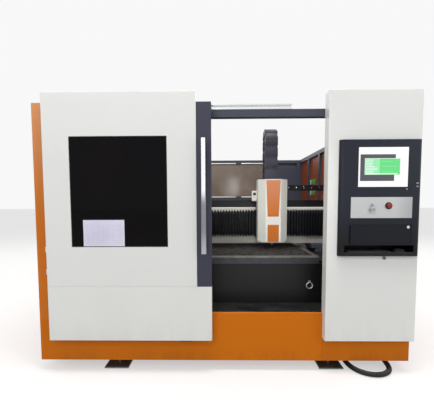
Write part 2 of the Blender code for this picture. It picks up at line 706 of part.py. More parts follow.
def build_walls(m):
    left = build_side_wall(m, "left_wall", -1, BODY_FRONT, BODY_FRONT + CORNER_POST_DEPTH)
    m.add(left, boxes(((-BODY_HALF, BODY_FRONT, BASE_TOP + GAP),
                       (-BODY_HALF + CORNER_POST_WIDTH, BODY_FRONT + CORNER_POST_DEPTH, WALL_TOP))))
    build_side_wall(m, "right_wall", 1, COLUMN_DEPTH + GAP, COLUMN_DEPTH + GAP)

    edge = WALL_INNER - GAP
    low = BASE_TOP + GAP
    rear = m.part("rear_wall", boxes(((-edge, REAR_OUTER - WALL_SKIN, low), (edge, REAR_OUTER, WALL_TOP))),
                  "orange_paint")
    mid_skin = REAR_OUTER - WALL_SKIN / 2
    posts, rails = wall_frame(-edge, edge, low, WALL_TOP, REAR_BAYS, REAR_INNER, mid_skin, "X")
    m.add(rear, posts, rails)
    m.add(rear, boxes(((REAR_WINDOW_LEFT - POST_WIDTH, REAR_INNER, REAR_WINDOW_LOW - POST_WIDTH),
                       (REAR_WINDOW_RIGHT + POST_WIDTH, mid_skin, REAR_WINDOW_HIGH + REAR_TRIM))))
    sill = REAR_WINDOW_LOW - POST_WIDTH
    edges = spread(-edge, edge, REAR_BAYS + 1)
    fields = [(a, b, low, sill) for a, b in zip(edges, edges[1:])]
    fields += [(-edge, REAR_WINDOW_LEFT - POST_WIDTH, sill, WALL_TOP), (REAR_WINDOW_RIGHT + POST_WIDTH, edge, sill, WALL_TOP)]
    m.add(rear, cladding(fields, mid_skin, BODY_REAR - PANEL_SET_BACK, "X"))
    m.cut(rear, boxes(((REAR_WINDOW_LEFT, REAR_INNER - OVERRUN, REAR_WINDOW_LOW),
                       (REAR_WINDOW_RIGHT, BODY_REAR + OVERRUN, REAR_WINDOW_HIGH))))
    clips = []
    span = REAR_WINDOW_RIGHT - REAR_WINDOW_LEFT
    for share in REAR_CLIP_SHARES:
        middle = REAR_WINDOW_LEFT + span * share
        for bottom in (REAR_WINDOW_LOW - REAR_CLIP_HEIGHT / 2, REAR_WINDOW_HIGH - REAR_CLIP_HEIGHT / 2):
            clips.append(((middle - REAR_CLIP_SIZE / 2, REAR_INNER - REAR_TRIM / 2, bottom),
                          (middle + REAR_CLIP_SIZE / 2, REAR_INNER + POST_DEPTH / 2, bottom + REAR_CLIP_HEIGHT)))
    m.add(rear, boxes(*clips))
    pane_front = REAR_INNER + POST_DEPTH / 2 + GAP
    m.part("rear_window", boxes(((REAR_WINDOW_LEFT + GAP, pane_front, REAR_WINDOW_LOW + GAP),
                                 (REAR_WINDOW_RIGHT - GAP, pane_front + REAR_WINDOW_THICK,
                                  REAR_WINDOW_HIGH - GAP))), "bronze_glass")


def build_feet(m):
    for row, place in zip(("front", "middle", "rear"), FOOT_Y):
        for side, mark in ((-1, "left"), (1, "right")):
            centre = side * FOOT_X
            half = FOOT_PLATE / 2
            foot = m.part(f"foot_{row}_{mark}", boxes(
                ((centre - half, place - half, 0), (centre + half, place + half, FOOT_PLATE_THICK))),
                "foot_steel")
            m.add(foot, rods(((centre, place, FOOT_PLATE_THICK / 2), "Z",
                              UNDERSIDE - GAP - FOOT_PLATE_THICK / 2, FOOT_SCREW)))
            m.add(foot, rods(((centre, place, UNDERSIDE - FOOT_NUT_HEIGHT * 2), "Z", FOOT_NUT_HEIGHT,
                              FOOT_NUT, None, 6)))


# Front of the cabin: header, rail, fixed panel and the sliding door

def build_front(m):
    post_edge = -BODY_HALF + CORNER_POST_WIDTH + GAP
    m.part("header_beam", soft_box((post_edge, HEADER_FRONT, HEADER_LOW),
                                   (WALL_INNER - GAP, HEADER_REAR, HEADER_HIGH), EDGE_SOFT, "X"), "dark_paint")
    low, high = HEADER_HIGH + GAP, HEADER_HIGH + GAP + RAIL_HEIGHT
    front, back = HEADER_FRONT, HEADER_FRONT + RAIL_DEPTH
    lip = RAIL_WALL
    outline = [(front, low), (back, low), (back, high), (front, high), (front, high - lip * 2),
               (front + lip, high - lip * 2), (front + lip, high - lip), (back - lip, high - lip),
               (back - lip, low + lip), (front + lip, low + lip), (front + lip, low + lip * 2),
               (front, low + lip * 2)]
    rail = prism(outline, "X", post_edge, RAIL_RIGHT - post_edge)
    m.part("door_rail", rail, "rail_steel")

    panel_right, panel_top = OPENING_LEFT, HEADER_LOW - GAP
    panel = m.part("front_panel", soft_box(
        (post_edge, BODY_FRONT, BASE_TOP + GAP), (panel_right, BODY_FRONT + FRONT_PANEL_THICK, panel_top),
        EDGE_SOFT, "Z"), "orange_paint")
    m.add(panel, boxes(((post_edge, BODY_FRONT + EDGE_SOFT, HEADER_LOW - POST_WIDTH),
                        (panel_right, HEADER_REAR, panel_top))))
    m.cut(panel, boxes(((post_edge + FIELD_MARGIN, BODY_FRONT - OVERRUN, BASE_TOP + FIELD_MARGIN),
                        (panel_right - FIELD_MARGIN, BODY_FRONT + FIELD_DEPTH, panel_top - FIELD_MARGIN))))

    slot_middle = DOOR_THICK * 2 / 3
    tongue = (GUIDE_SLOT_WIDTH - GUIDE_PLAY * 2) / 2
    guide = m.part("door_guide", boxes(
        ((GUIDE_X - GUIDE_WIDTH / 2, slot_middle - tongue, DOOR_LOW - GUIDE_PLAY - GUIDE_ARM),
         (GUIDE_X + GUIDE_WIDTH / 2, BODY_FRONT - GAP, DOOR_LOW - GUIDE_PLAY))), "black_plastic")
    m.add(guide, boxes(((GUIDE_X - GUIDE_WIDTH / 2, slot_middle - tongue, DOOR_LOW - GUIDE_ARM),
                        (GUIDE_X + GUIDE_WIDTH / 2, slot_middle + tongue,
                         DOOR_LOW + GUIDE_SLOT_DEPTH - GUIDE_PLAY * 2))))


def build_door(m):
    m.moving_frame("door", travel=(0.0, DOOR_TRAVEL))
    panel_right = DOOR_RIGHT - STILE_WIDTH
    panel = m.part("door_panel", soft_box((DOOR_LEFT, 0, DOOR_SEAM + GAP), (panel_right, DOOR_THICK, DOOR_TOP)),
                   "white_paint", "door")
    glass_back = WINDOW_SET_BACK + WINDOW_THICK
    m.cut(panel, boxes(((WINDOW_LEFT, -OVERRUN, WINDOW_LOW), (WINDOW_RIGHT, glass_back + GAP, WINDOW_HIGH))))
    m.cut(panel, boxes(((WINDOW_LEFT + WINDOW_REBATE, -OVERRUN, WINDOW_LOW + WINDOW_REBATE),
                        (WINDOW_RIGHT - WINDOW_REBATE, DOOR_THICK + OVERRUN, WINDOW_HIGH - WINDOW_REBATE))))
    m.part("door_window", soft_box((WINDOW_LEFT + GAP, WINDOW_SET_BACK, WINDOW_LOW + GAP),
                                   (WINDOW_RIGHT - GAP, glass_back, WINDOW_HIGH - GAP), WINDOW_THICK / 4, "XYZ", 1),
           "dark_glass", "door")
    m.part("door_stile", soft_box((panel_right + GAP, STILE_SET_BACK, DOOR_SEAM + GAP),
                                  (DOOR_RIGHT, DOOR_THICK, STILE_TOP)), "dark_paint", "door")
    lower = m.part("door_lower_panel", soft_box((DOOR_LEFT, 0, DOOR_LOW), (DOOR_RIGHT, DOOR_THICK, DOOR_SEAM)),
                   "white_paint", "door")
    slot_middle = DOOR_THICK * 2 / 3
    m.cut(lower, boxes(((DOOR_LEFT - OVERRUN, slot_middle - GUIDE_SLOT_WIDTH / 2, DOOR_LOW - OVERRUN),
                        (DOOR_RIGHT + OVERRUN, slot_middle + GUIDE_SLOT_WIDTH / 2, DOOR_LOW + GUIDE_SLOT_DEPTH))))
    build_handle(m, (panel_right + DOOR_RIGHT) / 2)
    build_hangers(m, panel_right)


def build_handle(m, middle):
    half, front = HANDLE_WIDTH / 2, -HANDLE_PROUD
    back = front + HANDLE_THICK
    outline = [(middle - half, back), (middle - half, front + HANDLE_THICK / 3), (middle - half + HANDLE_THICK / 3, front),
               (middle + half - HANDLE_THICK / 3, front), (middle + half, front + HANDLE_THICK / 3),
               (middle + half, front + HANDLE_LIP), (middle + half - HANDLE_THICK / 3, front + HANDLE_LIP),
               (middle + half - HANDLE_THICK / 3, back)]
    bar = m.part("door_handle", prism(outline, "Z", HANDLE_LOW, HANDLE_HIGH - HANDLE_LOW), "brushed_steel", "door")
    posts = []
    for share in HANDLE_POST_SHARES:
        height = HANDLE_LOW + (HANDLE_HIGH - HANDLE_LOW) * share
        posts.append(((middle - HANDLE_POST / 2, back - HANDLE_THICK / 2, height - HANDLE_POST / 2),
                      (middle + HANDLE_POST / 2, STILE_SET_BACK - GAP, height + HANDLE_POST / 2)))
    m.add(bar, boxes(*posts))


def build_hangers(m, panel_right):
    rail_low = HEADER_HIGH + GAP + RAIL_WALL
    shoe_low, shoe_high = rail_low + GAP, rail_low + RAIL_HEIGHT - RAIL_WALL * 2 - GAP
    slot_low, slot_high = shoe_low + RAIL_WALL + GAP * 2, shoe_high - RAIL_WALL - GAP * 2
    span = panel_right - DOOR_LEFT
    for mark, share in zip(("left", "right"), HANGER_SHARES):
        middle = DOOR_LEFT + span * share
        half = HANGER_WIDTH / 2
        hanger = m.part(f"door_hanger_{mark}", boxes(
            ((middle - half, DOOR_THICK + GAP, DOOR_TOP - HANGER_HEIGHT * 3 / 2),
             (middle + half, DOOR_THICK + GAP + HANGER_PLATE, DOOR_TOP - HANGER_HEIGHT / 4))),
            "brushed_steel", "door")
        shoe = SHOE_WIDTH / 2
        m.add(hanger, boxes(((middle - shoe, DOOR_THICK + GAP + HANGER_PLATE / 2, slot_low),
                             (middle + shoe, HEADER_FRONT + RAIL_WALL * 2, slot_high))))
        m.add(hanger, boxes(((middle - shoe, HEADER_FRONT + RAIL_WALL + GAP * 2, shoe_low),
                             (middle + shoe, HEADER_FRONT + RAIL_DEPTH - RAIL_WALL - GAP * 2, shoe_high))))


# Operator column and console

def build_column(m):
    column = m.part("column", soft_box((COLUMN_LEFT, 0, DOOR_LOW), (BODY_HALF, COLUMN_DEPTH, DOOR_TOP)),
                    "white_paint")
    m.cut(column, boxes(((COLUMN_LEFT - OVERRUN, BODY_FRONT - GAP, DOOR_LOW - OVERRUN),
                         (BODY_HALF + OVERRUN, COLUMN_DEPTH + OVERRUN, BASE_TOP + GAP))))
    m.cut(column, boxes(((COLUMN_LEFT + COLUMN_SHEET, COLUMN_SHEET, DOOR_LOW + COLUMN_SHEET),
                         (BODY_HALF - COLUMN_SHEET, COLUMN_DEPTH + OVERRUN, DOOR_TOP - COLUMN_SHEET))))
    m.cut(column, boxes(((CONSOLE_LEFT - GAP, -OVERRUN, CONSOLE_LOW - GAP),
                         (CONSOLE_RIGHT + GAP, COLUMN_DEPTH - OVERRUN, CONSOLE_HIGH + GAP))))
    m.cut(column, rods(((LOCK_X, -OVERRUN, LOCK_Z), "Y", OVERRUN * 2, LOCK_RADIUS + HOLE_PLAY)))

    m.moving_frame("cam_lock", (LOCK_X, 0, LOCK_Z))
    lock = m.part("cam_lock", rods(((LOCK_X, -LOCK_PROUD, LOCK_Z), "Y", LOCK_PROUD + COLUMN_SHEET * 3,
                                    LOCK_RADIUS)), "rail_steel", "cam_lock", smooth=True)
    m.add(lock, rods(((LOCK_X, -LOCK_PROUD, LOCK_Z), "Y", LOCK_PROUD - GAP, LOCK_RADIUS * 3 / 2)))
    m.cut(lock, boxes(((LOCK_X - LOCK_SLOT / 2, -LOCK_PROUD - OVERRUN, LOCK_Z - LOCK_RADIUS),
                       (LOCK_X + LOCK_SLOT / 2, -LOCK_PROUD / 2, LOCK_Z + LOCK_RADIUS))))
    cam_back = COLUMN_SHEET * 3 - GAP
    m.add(lock, boxes(((LOCK_X - LOCK_RADIUS / 2, cam_back - LOCK_CAM_THICK, LOCK_Z - LOCK_CAM),
                       (LOCK_X + LOCK_RADIUS / 2, cam_back, LOCK_Z))))


def build_console(m):
    front = CONSOLE_FRONT
    housing = m.part("console_housing", console_body(), "dark_paint", smooth=True)
    left, right = SCREEN_X - SCREEN_WIDTH / 2, SCREEN_X + SCREEN_WIDTH / 2
    low, high = SCREEN_Z - SCREEN_HEIGHT / 2, SCREEN_Z + SCREEN_HEIGHT / 2
    screen_front = front + SCREEN_SET_BACK
    m.cut(housing, boxes(((left - GAP, front - OVERRUN, low - GAP),
                          (right + GAP, screen_front + SCREEN_THICK + GAP, high + GAP))))
    screen = m.part("monitor", soft_box((left, screen_front, low), (right, screen_front + SCREEN_THICK, high),
                                        SCREEN_FRAME / 4, "XYZ", 1), "screen_face")
    m.cut(screen, boxes(((left + SCREEN_FRAME, screen_front - OVERRUN, low + SCREEN_FRAME),
                         (right - SCREEN_FRAME, screen_front + SCREEN_FRAME / 2, high - SCREEN_FRAME))))

    plate_front = front - PLATE_THICK - GAP
    plate = m.part("switch_plate", soft_box((PLATE_LEFT, plate_front, PLATE_LOW),
                                            (PLATE_RIGHT, front - GAP, PLATE_HIGH), PLATE_THICK / 3, "XYZ", 1),
                   "plate_aluminium")
    for x, z, radius in ((KEY_X, KEY_Z, KEY_RADIUS), (STOP_X, STOP_Z, STOP_STEM)):
        bore = radius + HOLE_PLAY
        m.cut(plate, rods(((x, plate_front - OVERRUN, z), "Y", OVERRUN * 2, bore)))
        m.cut(housing, rods(((x, front - OVERRUN, z), "Y", OVERRUN + HOLE_DEPTH, bore)))
    build_switches(m, plate_front)

    m.cut(housing, boxes(((FLAP_LEFT - FLAP_PLAY, front - OVERRUN, FLAP_LOW - FLAP_PLAY),
                          (FLAP_RIGHT + FLAP_PLAY, FLAP_FRONT + FLAP_THICK + GAP, FLAP_HIGH + FLAP_PLAY))))
    m.cut(housing, boxes(((FLAP_LEFT + BAY_MARGIN, front - OVERRUN, FLAP_LOW + BAY_MARGIN),
                          (FLAP_RIGHT - BAY_MARGIN, front + BAY_DEPTH, FLAP_HIGH - BAY_MARGIN))))
    build_flap(m)
    m.cut(housing, boxes(((CONSOLE_LEFT + TRAY_BAY_SIDE, front - OVERRUN, TRAY_BAY_LOW),
                          (CONSOLE_RIGHT - TRAY_BAY_SIDE, front + TRAY_BAY_DEPTH, TRAY_BAY_HIGH))))
    build_tray(m)


def console_body():
    """The housing's plan outline with round front corners, drawn up its height."""
    front, back = CONSOLE_FRONT, CONSOLE_FRONT + CONSOLE_DEPTH
    outline = [(CONSOLE_LEFT, back)]
    steps = ROUND_SIDES // 4
    for index in range(steps + 1):
        angle = math.pi + math.pi / 2 * index / steps
        outline.append((CONSOLE_LEFT + CONSOLE_ROUND + CONSOLE_ROUND * math.cos(angle),
                        front + CONSOLE_ROUND + CONSOLE_ROUND * math.sin(angle)))
    for index in range(steps + 1):
        angle = math.pi * 3 / 2 + math.pi / 2 * index / steps
        outline.append((CONSOLE_RIGHT - CONSOLE_ROUND + CONSOLE_ROUND * math.cos(angle),
                        front + CONSOLE_ROUND + CONSOLE_ROUND * math.sin(angle)))
    outline += [(CONSOLE_RIGHT, COLUMN_DEPTH - GAP), (CONSOLE_BOX_RIGHT, COLUMN_DEPTH - GAP), (CONSOLE_BOX_RIGHT, back)]
    return prism(outline, "Z", CONSOLE_LOW, CONSOLE_HIGH - CONSOLE_LOW)


def build_switches(m, plate_front):
    m.moving_frame("emergency_stop", (STOP_X, plate_front, STOP_Z))
    stem_back = CONSOLE_FRONT + HOLE_DEPTH - STOP_TRAVEL - HOLE_PLAY
    head_back = plate_front - STOP_STAND
    stop = m.part("emergency_stop", rods(((STOP_X, head_back - STOP_HEAD / 2, STOP_Z), "Y",
                                          stem_back - head_back + STOP_HEAD / 2, STOP_STEM)),
                  "stop_red", "emergency_stop", smooth=True)
    m.add(stop, rods(((STOP_X, head_back - STOP_HEAD * 2 / 3, STOP_Z), "Y", STOP_HEAD * 2 / 3, STOP_RADIUS,
                      STOP_RADIUS * 9 / 10, ROUND_SIDES)))
    m.add(stop, rods(((STOP_X, head_back - STOP_HEAD, STOP_Z), "Y", STOP_HEAD * 2 / 3, STOP_RADIUS * 3 / 4,
                      STOP_RADIUS * 19 / 20, ROUND_SIDES)))

    m.moving_frame("key_switch", (KEY_X, plate_front, KEY_Z))
    key = m.part("key_switch", rods(((KEY_X, plate_front - KEY_REACH, KEY_Z), "Y",
                                     KEY_REACH + HOLE_DEPTH, KEY_RADIUS)), "brushed_steel", "key_switch",
                 smooth=True)
    face = plate_front - KEY_REACH
    m.add(key, boxes(((KEY_X - KEY_BLADE / 2, face - KEY_REACH, KEY_Z - KEY_HEAD / 3),
                      (KEY_X + KEY_BLADE / 2, face + KEY_REACH / 2, KEY_Z + KEY_HEAD / 3))))
    m.add(key, boxes(((KEY_X - KEY_BLADE / 2, face - KEY_REACH - KEY_HEAD, KEY_Z - KEY_HEAD),
                      (KEY_X + KEY_BLADE / 2, face - KEY_REACH / 2, KEY_Z + KEY_HEAD))))


def build_flap(m):
    m.moving_frame("console_flap", FLAP_AXIS)
    back = FLAP_FRONT + FLAP_THICK
    flap = m.part("console_flap", boxes(((FLAP_LEFT, FLAP_FRONT, FLAP_LOW), (FLAP_RIGHT, back, FLAP_HIGH))),
                  "black_plastic", "console_flap")
    m.add(flap, boxes(((FLAP_LEFT, FLAP_AXIS.y, FLAP_LOW),
                       (FLAP_LEFT + FLAP_BARREL * 2, FLAP_FRONT + FLAP_THICK / 2, FLAP_HIGH))))
    m.add(flap, rods(((FLAP_AXIS.x, FLAP_AXIS.y, FLAP_LOW), "Z", FLAP_HIGH - FLAP_LOW, FLAP_BARREL)))
    m.add(flap, rods(((FLAP_KNOB_X, FLAP_FRONT - FLAP_KNOB_REACH, FLAP_KNOB_Z), "Y",
                      FLAP_KNOB_REACH + FLAP_THICK / 2, FLAP_KNOB)))


def build_tray(m):
    m.moving_frame("keyboard_tray")
    front, floor = CONSOLE_FRONT, TRAY_BAY_LOW + GAP
    left, right = CONSOLE_LEFT + TRAY_BAY_SIDE + TRAY_PLAY, CONSOLE_RIGHT - TRAY_BAY_SIDE - TRAY_PLAY
    top = floor + TRAY_THICK
    tray = m.part("keyboard_tray", boxes(((left, front, floor), (right, front + TRAY_BAY_DEPTH - TRAY_PLAY, top))),
                  "black_plastic", "keyboard_tray")
    m.add(tray, soft_box((left, front - TRAY_PLAY, floor), (right, front + TRAY_THICK, top + TRAY_LIP),
                         TRAY_THICK / 4, "X"))
    board_low = top + GAP
    board_front = front + KEYBOARD_FRONT
    board_top = board_low + KEYBOARD_THICK
    board = m.part("keyboard", soft_box((KEYBOARD_LEFT, board_front, board_low),
                                        (KEYBOARD_LEFT + KEYBOARD_WIDTH, board_front + KEYBOARD_DEPTH, board_top),
                                        EDGE_SOFT, "Z"), "black_plastic", "keyboard_tray")
    keys = []
    column = (KEYBOARD_WIDTH - KEY_SPACE * 3) / KEY_COLUMNS
    row = (KEYBOARD_DEPTH - KEY_SPACE * 3) / KEY_ROWS
    for line in range(KEY_ROWS):
        for place in range(KEY_COLUMNS):
            x = KEYBOARD_LEFT + KEY_SPACE * 2 + column * place
            y = board_front + KEY_SPACE * 2 + row * line
            keys.append(((x, y, board_top - KEY_SINK), (x + column - KEY_SPACE, y + row - KEY_SPACE,
                                                        board_top + KEY_CAP_HEIGHT)))
    m.add(board, boxes(*keys))


# Bed: frame, slats, rails and racks

def build_bed(m):
    low = FLOOR_TOP + GAP
    frame = m.part("bed_frame", boxes(((-BEAM_OUTER, BED_FRONT, SILL_TOP - LEDGE_THICK),
                                       (BEAM_OUTER, BED_FRONT + CROSS_THICK, CROSS_TOP))), "black_paint")
    m.add(frame, boxes(((-BEAM_OUTER, BED_FRONT + CROSS_THICK / 2, low), (-BEAM_INNER, BED_REAR, BED_TOP)),
                       ((BEAM_INNER, BED_FRONT + CROSS_THICK / 2, low), (BEAM_OUTER, BED_REAR, BED_TOP))))
    ledge_front = BODY_FRONT + max(BASE_WALL, SILL_DEPTH) + GAP
    m.add(frame, boxes(((-BEAM_OUTER, ledge_front, SILL_TOP - LEDGE_THICK),
                        (BEAM_OUTER, BED_FRONT + CROSS_THICK / 2, SILL_TOP))))
    rear_front = BED_REAR - CROSS_THICK
    m.add(frame, boxes(((-BEAM_INNER - SUPPORT_WIDTH, rear_front, DRAWER_TOP + DRAWER_OPENING_PLAY),
                        (BEAM_INNER + SUPPORT_WIDTH, BED_REAR - GAP, CROSS_TOP))))
    ledges = []
    for side in (-1, 1):
        near, far = side * (BEAM_INNER + SUPPORT_THICK), side * (BEAM_INNER - SUPPORT_WIDTH)
        ledges.append(((min(near, far), BED_FRONT + CROSS_THICK / 2, CROSS_TOP - SUPPORT_THICK),
                       (max(near, far), BED_REAR - CROSS_THICK / 2, CROSS_TOP)))
    m.add(frame, boxes(*ledges))
    m.add(frame, boxes(((EYE_X - EYE_LUG / 2, BED_FRONT - EYE_WIRE * 2, EYE_Z + EYE_RADIUS - EYE_WIRE),
                        (EYE_X + EYE_LUG / 2, BED_FRONT + EYE_WIRE, EYE_Z + EYE_RADIUS + EYE_LUG))))
    m.add(frame, eye_ring())


def eye_ring():
    """The lifting ring, hung in its lug in front of the bed."""
    bm = bmesh.new()
    rounds = []
    for index in range(SMALL_SIDES):
        angle = math.tau * index / SMALL_SIDES
        out = Vector((math.cos(angle), 0, math.sin(angle)))
        centre = Vector((EYE_X, BED_FRONT - EYE_WIRE * 3 / 2, EYE_Z)) + out * EYE_RADIUS
        ring = []
        for step in range(8):
            turn = math.tau * step / 8
            ring.append(bm.verts.new(centre + out * EYE_WIRE * math.cos(turn)
                                     + Vector((0, EYE_WIRE * math.sin(turn), 0))))
        rounds.append(ring)
    for ring, following in zip(rounds, rounds[1:] + rounds[:1]):
        for step in range(8):
            bm.faces.new((ring[step], ring[step - 1], following[step - 1], following[step]))
    bmesh.ops.recalc_face_normals(bm, faces=bm.faces)
    return mesh_from(bm, "ring")


def slat(place, half_length, low):
    """One saw-tooth slat across the bed."""
    pitch = half_length * 2 / SLAT_TEETH
    outline = [(-half_length, low), (-half_length, SLAT_TOP - SLAT_TOOTH)]
    for tooth in range(SLAT_TEETH):
        start = -half_length + pitch * tooth
        outline.append((start + pitch / 2, SLAT_TOP))
        outline.append((start + pitch, SLAT_TOP - SLAT_TOOTH))
    outline.append((half_length, low))
    return prism(outline, "Y", place - SLAT_THICK / 2, SLAT_THICK)


def build_slats(m):
    low = CROSS_TOP + GAP
    front, rear = BED_FRONT + GAP, SLAT_LENGTH_END
    half = BEAM_INNER - GAP * 2
    grid = m.part("slat_grid", boxes(((-half, front, low), (half, rear, SLAT_FRAME_TOP))), "slat_steel")
    m.cut(grid, boxes(((-half + SLAT_BAR, front + SLAT_BAR, low - OVERRUN),
                       (half - SLAT_BAR, rear - SLAT_BAR, SLAT_FRAME_TOP + OVERRUN))))
    inner = half - SLAT_BAR / 2
    pitch = (rear - front - SLAT_BAR * 2) / (SLAT_COUNT + 1)
    bm = bmesh.new()
    for index in range(SLAT_COUNT):
        one = slat(front + SLAT_BAR + pitch * (index + 1), inner, low + SLAT_THICK)
        bm.from_mesh(one)
        bpy.data.meshes.remove(one)
    m.add(grid, mesh_from(bm, "slats"))


def rail_profile(middle, clearance=0):
    """Section of a Y rail with its waist. With a clearance it is the slot that the saddle runs on."""
    half, waist = Y_RAIL_WIDTH / 2 + clearance * 2, Y_RAIL_WIDTH / 2 - Y_RAIL_WAIST + clearance * 2
    low = BED_TOP + GAP
    height = Y_RAIL_HEIGHT
    foot = low - (OVERRUN if clearance else 0)
    return [(middle - half, foot), (middle + half, foot), (middle + half, low + height / 3),
            (middle + waist, low + height / 2), (middle + half, low + height * 2 / 3),
            (middle + half, low + height + clearance), (middle - half, low + height + clearance),
            (middle - half, low + height * 2 / 3), (middle - waist, low + height / 2),
            (middle - half, low + height / 3)]


def build_rails(m):
    for side, mark in ((-1, "left"), (1, "right")):
        m.part(f"y_rail_{mark}", prism(rail_profile(side * Y_RAIL_X), "Y", Y_RAIL_START, Y_RAIL_END - Y_RAIL_START),
               "rail_steel")
        near, far = side * RACK_INNER, side * (RACK_INNER + RACK_WIDTH)
        m.part(f"rack_{mark}", boxes(((min(near, far), Y_RAIL_START, RACK_HIGH - RACK_HEIGHT),
                                      (max(near, far), BED_REAR, RACK_HIGH))), "rail_steel")


# Gantry: beam, saddles, drives, bellows and the X cable chain

def build_gantry(m):
    m.moving_frame("gantry", travel=(-GANTRY_FORWARD, GANTRY_BACK))
    beam = m.part("gantry_beam", soft_box((-BEAM_HALF, BEAM_FRONT, BEAM_LOW), (BEAM_HALF, BEAM_REAR, BEAM_HIGH),
                                          EDGE_SOFT * 2, "X"), "grey_paint", "gantry")
    flanges = []
    for side in (-1, 1):
        near, far = side * (BEAM_HALF - END_FLANGE), side * BEAM_HALF
        flanges.append(((min(near, far), BEAM_FRONT - BELLOWS_DEPTH - BELLOWS_FOLD / 2, BELLOWS_LOW - BELLOWS_FOLD / 2),
                        (max(near, far), BEAM_FRONT + END_FLANGE, BELLOWS_HIGH + BELLOWS_FOLD / 2)))
    m.add(beam, boxes(*flanges))
    m.cut(beam, boxes(((-BEAM_HALF + END_FLANGE * 2, BEAM_REAR - BEAM_RELIEF, BEAM_LOW + END_FLANGE * 2),
                       (BEAM_HALF - END_FLANGE * 2, BEAM_REAR + OVERRUN, BEAM_HIGH - END_FLANGE * 2))))
    guides = []
    for height in X_GUIDE_HEIGHTS:
        guides.append(((-BEAM_HALF + END_FLANGE / 2, BEAM_FRONT - X_GUIDE_DEPTH, height - X_GUIDE_WIDTH / 2),
                       (BEAM_HALF - END_FLANGE / 2, BEAM_FRONT + X_GUIDE_DEPTH, height + X_GUIDE_WIDTH / 2)))
    m.add(beam, boxes(*guides))
    for side, mark in ((-1, "left"), (1, "right")):
        build_drive(m, side, mark)
    reach = BEAM_HALF - END_FLANGE - GAP
    bellows(m, "bellows_left", -reach, CARRIAGE_LEFT - GAP)
    bellows(m, "bellows_right", CARRIAGE_RIGHT + GAP, reach)
    build_x_chain(m)


def build_drive(m, side, mark):
    def across(near, far):
        return min(side * near, side * far), max(side * near, side * far)

    left, right = across(SADDLE_INNER, SADDLE_OUTER)
    rear = SADDLE_FRONT + SADDLE_LENGTH
    saddle = m.part(f"gantry_saddle_{mark}", soft_box((left, SADDLE_FRONT, SADDLE_LOW), (right, rear, SADDLE_TOP),
                                                      EDGE_SOFT, "Z"), "dark_paint", "gantry")
    shoe_left, shoe_right = across(Y_RAIL_X - SADDLE_SHOE_HALF, Y_RAIL_X + SADDLE_SHOE_HALF)
    m.add(saddle, boxes(((shoe_left, SADDLE_FRONT + EDGE_SOFT, BED_TOP + SADDLE_SHOE_CLEAR),
                         (shoe_right, rear - EDGE_SOFT, SADDLE_TOP - SADDLE_THICK / 2))))
    m.cut(saddle, prism(rail_profile(side * Y_RAIL_X, GAP), "Y", SADDLE_FRONT - OVERRUN, SADDLE_LENGTH + OVERRUN * 2))
    axis_x = side * PINION_X
    m.cut(saddle, rods(((axis_x, DRIVE_Y, SADDLE_LOW - OVERRUN), "Z", SADDLE_THICK + OVERRUN * 2,
                        SHAFT_RADIUS + SHAFT_PLAY)))

    half = MOTOR_SIZE / 2
    base = SADDLE_TOP + GAP
    motor = m.part(f"y_motor_{mark}", soft_box((axis_x - half, DRIVE_Y - half, base),
                                               (axis_x + half, DRIVE_Y + half, base + MOTOR_FLANGE),
                                               EDGE_SOFT, "Z"), "black_paint", "gantry")
    body = MOTOR_SIZE * 9 / 20
    m.add(motor, soft_box((axis_x - body, DRIVE_Y - body, base + MOTOR_FLANGE / 2),
                          (axis_x + body, DRIVE_Y + body, base + MOTOR_HEIGHT), MOTOR_SIZE / 8, "Z"))
    m.add(motor, rods(((axis_x, DRIVE_Y, base + MOTOR_HEIGHT - GAP), "Z", MOTOR_CAP, body * 9 / 10, None, ROUND_SIDES)))

    m.moving_frame(f"pinion_{mark}", (axis_x, DRIVE_Y, RACK_HIGH - RACK_HEIGHT / 2))
    pinion = m.part(f"pinion_{mark}", gear_outline(axis_x), "rail_steel", f"pinion_{mark}")
    m.add(pinion, rods(((axis_x, DRIVE_Y, RACK_HIGH - RACK_HEIGHT / 2), "Z",
                        base - GAP * 2 - RACK_HIGH + RACK_HEIGHT / 2, SHAFT_RADIUS)))


def gear_outline(axis_x):
    """A spur wheel: each tooth has a root, two flanks and a tip land."""
    outline = []
    for tooth in range(PINION_TEETH):
        for share, radius in ((0, PINION_RADIUS - PINION_TOOTH), (1 / 4, PINION_RADIUS - PINION_TOOTH),
                              (2 / 5, PINION_RADIUS), (17 / 20, PINION_RADIUS)):
            angle = math.tau * (tooth + share) / PINION_TEETH
            outline.append((axis_x + radius * math.cos(angle), DRIVE_Y + radius * math.sin(angle)))
    return prism(outline, "Z", RACK_HIGH - RACK_HEIGHT, RACK_HEIGHT)


def bellows(m, name, start, end):
    """Accordion cover, open to the beam: its section swells and shrinks once a fold."""
    folds = max(1, round((end - start) / BELLOWS_PITCH))
    back, skin = BEAM_FRONT - GAP, BELLOWS_SKIN
    bm = bmesh.new()
    rings = []
    for step in range(folds * 2 + 1):
        x = start + (end - start) * step / (folds * 2)
        fold = BELLOWS_FOLD / 2 if step % 2 else -BELLOWS_FOLD / 2
        front, low, high = BEAM_FRONT - BELLOWS_DEPTH - fold, BELLOWS_LOW - fold, BELLOWS_HIGH + fold
        rings.append([bm.verts.new((x, y, z)) for y, z in (
            (back, low), (front, low), (front, high), (back, high),
            (back, high - skin), (front + skin, high - skin), (front + skin, low + skin), (back, low + skin))])
    for ring, following in zip(rings, rings[1:]):
        for index in range(len(ring)):
            bm.faces.new((ring[index - 1], ring[index], following[index], following[index - 1]))
    bm.faces.new(rings[0])
    bm.faces.new(reversed(rings[-1]))
    bmesh.ops.recalc_face_normals(bm, faces=bm.faces)
    return m.part(name, mesh_from(bm, name), "bellows_cloth", "gantry")


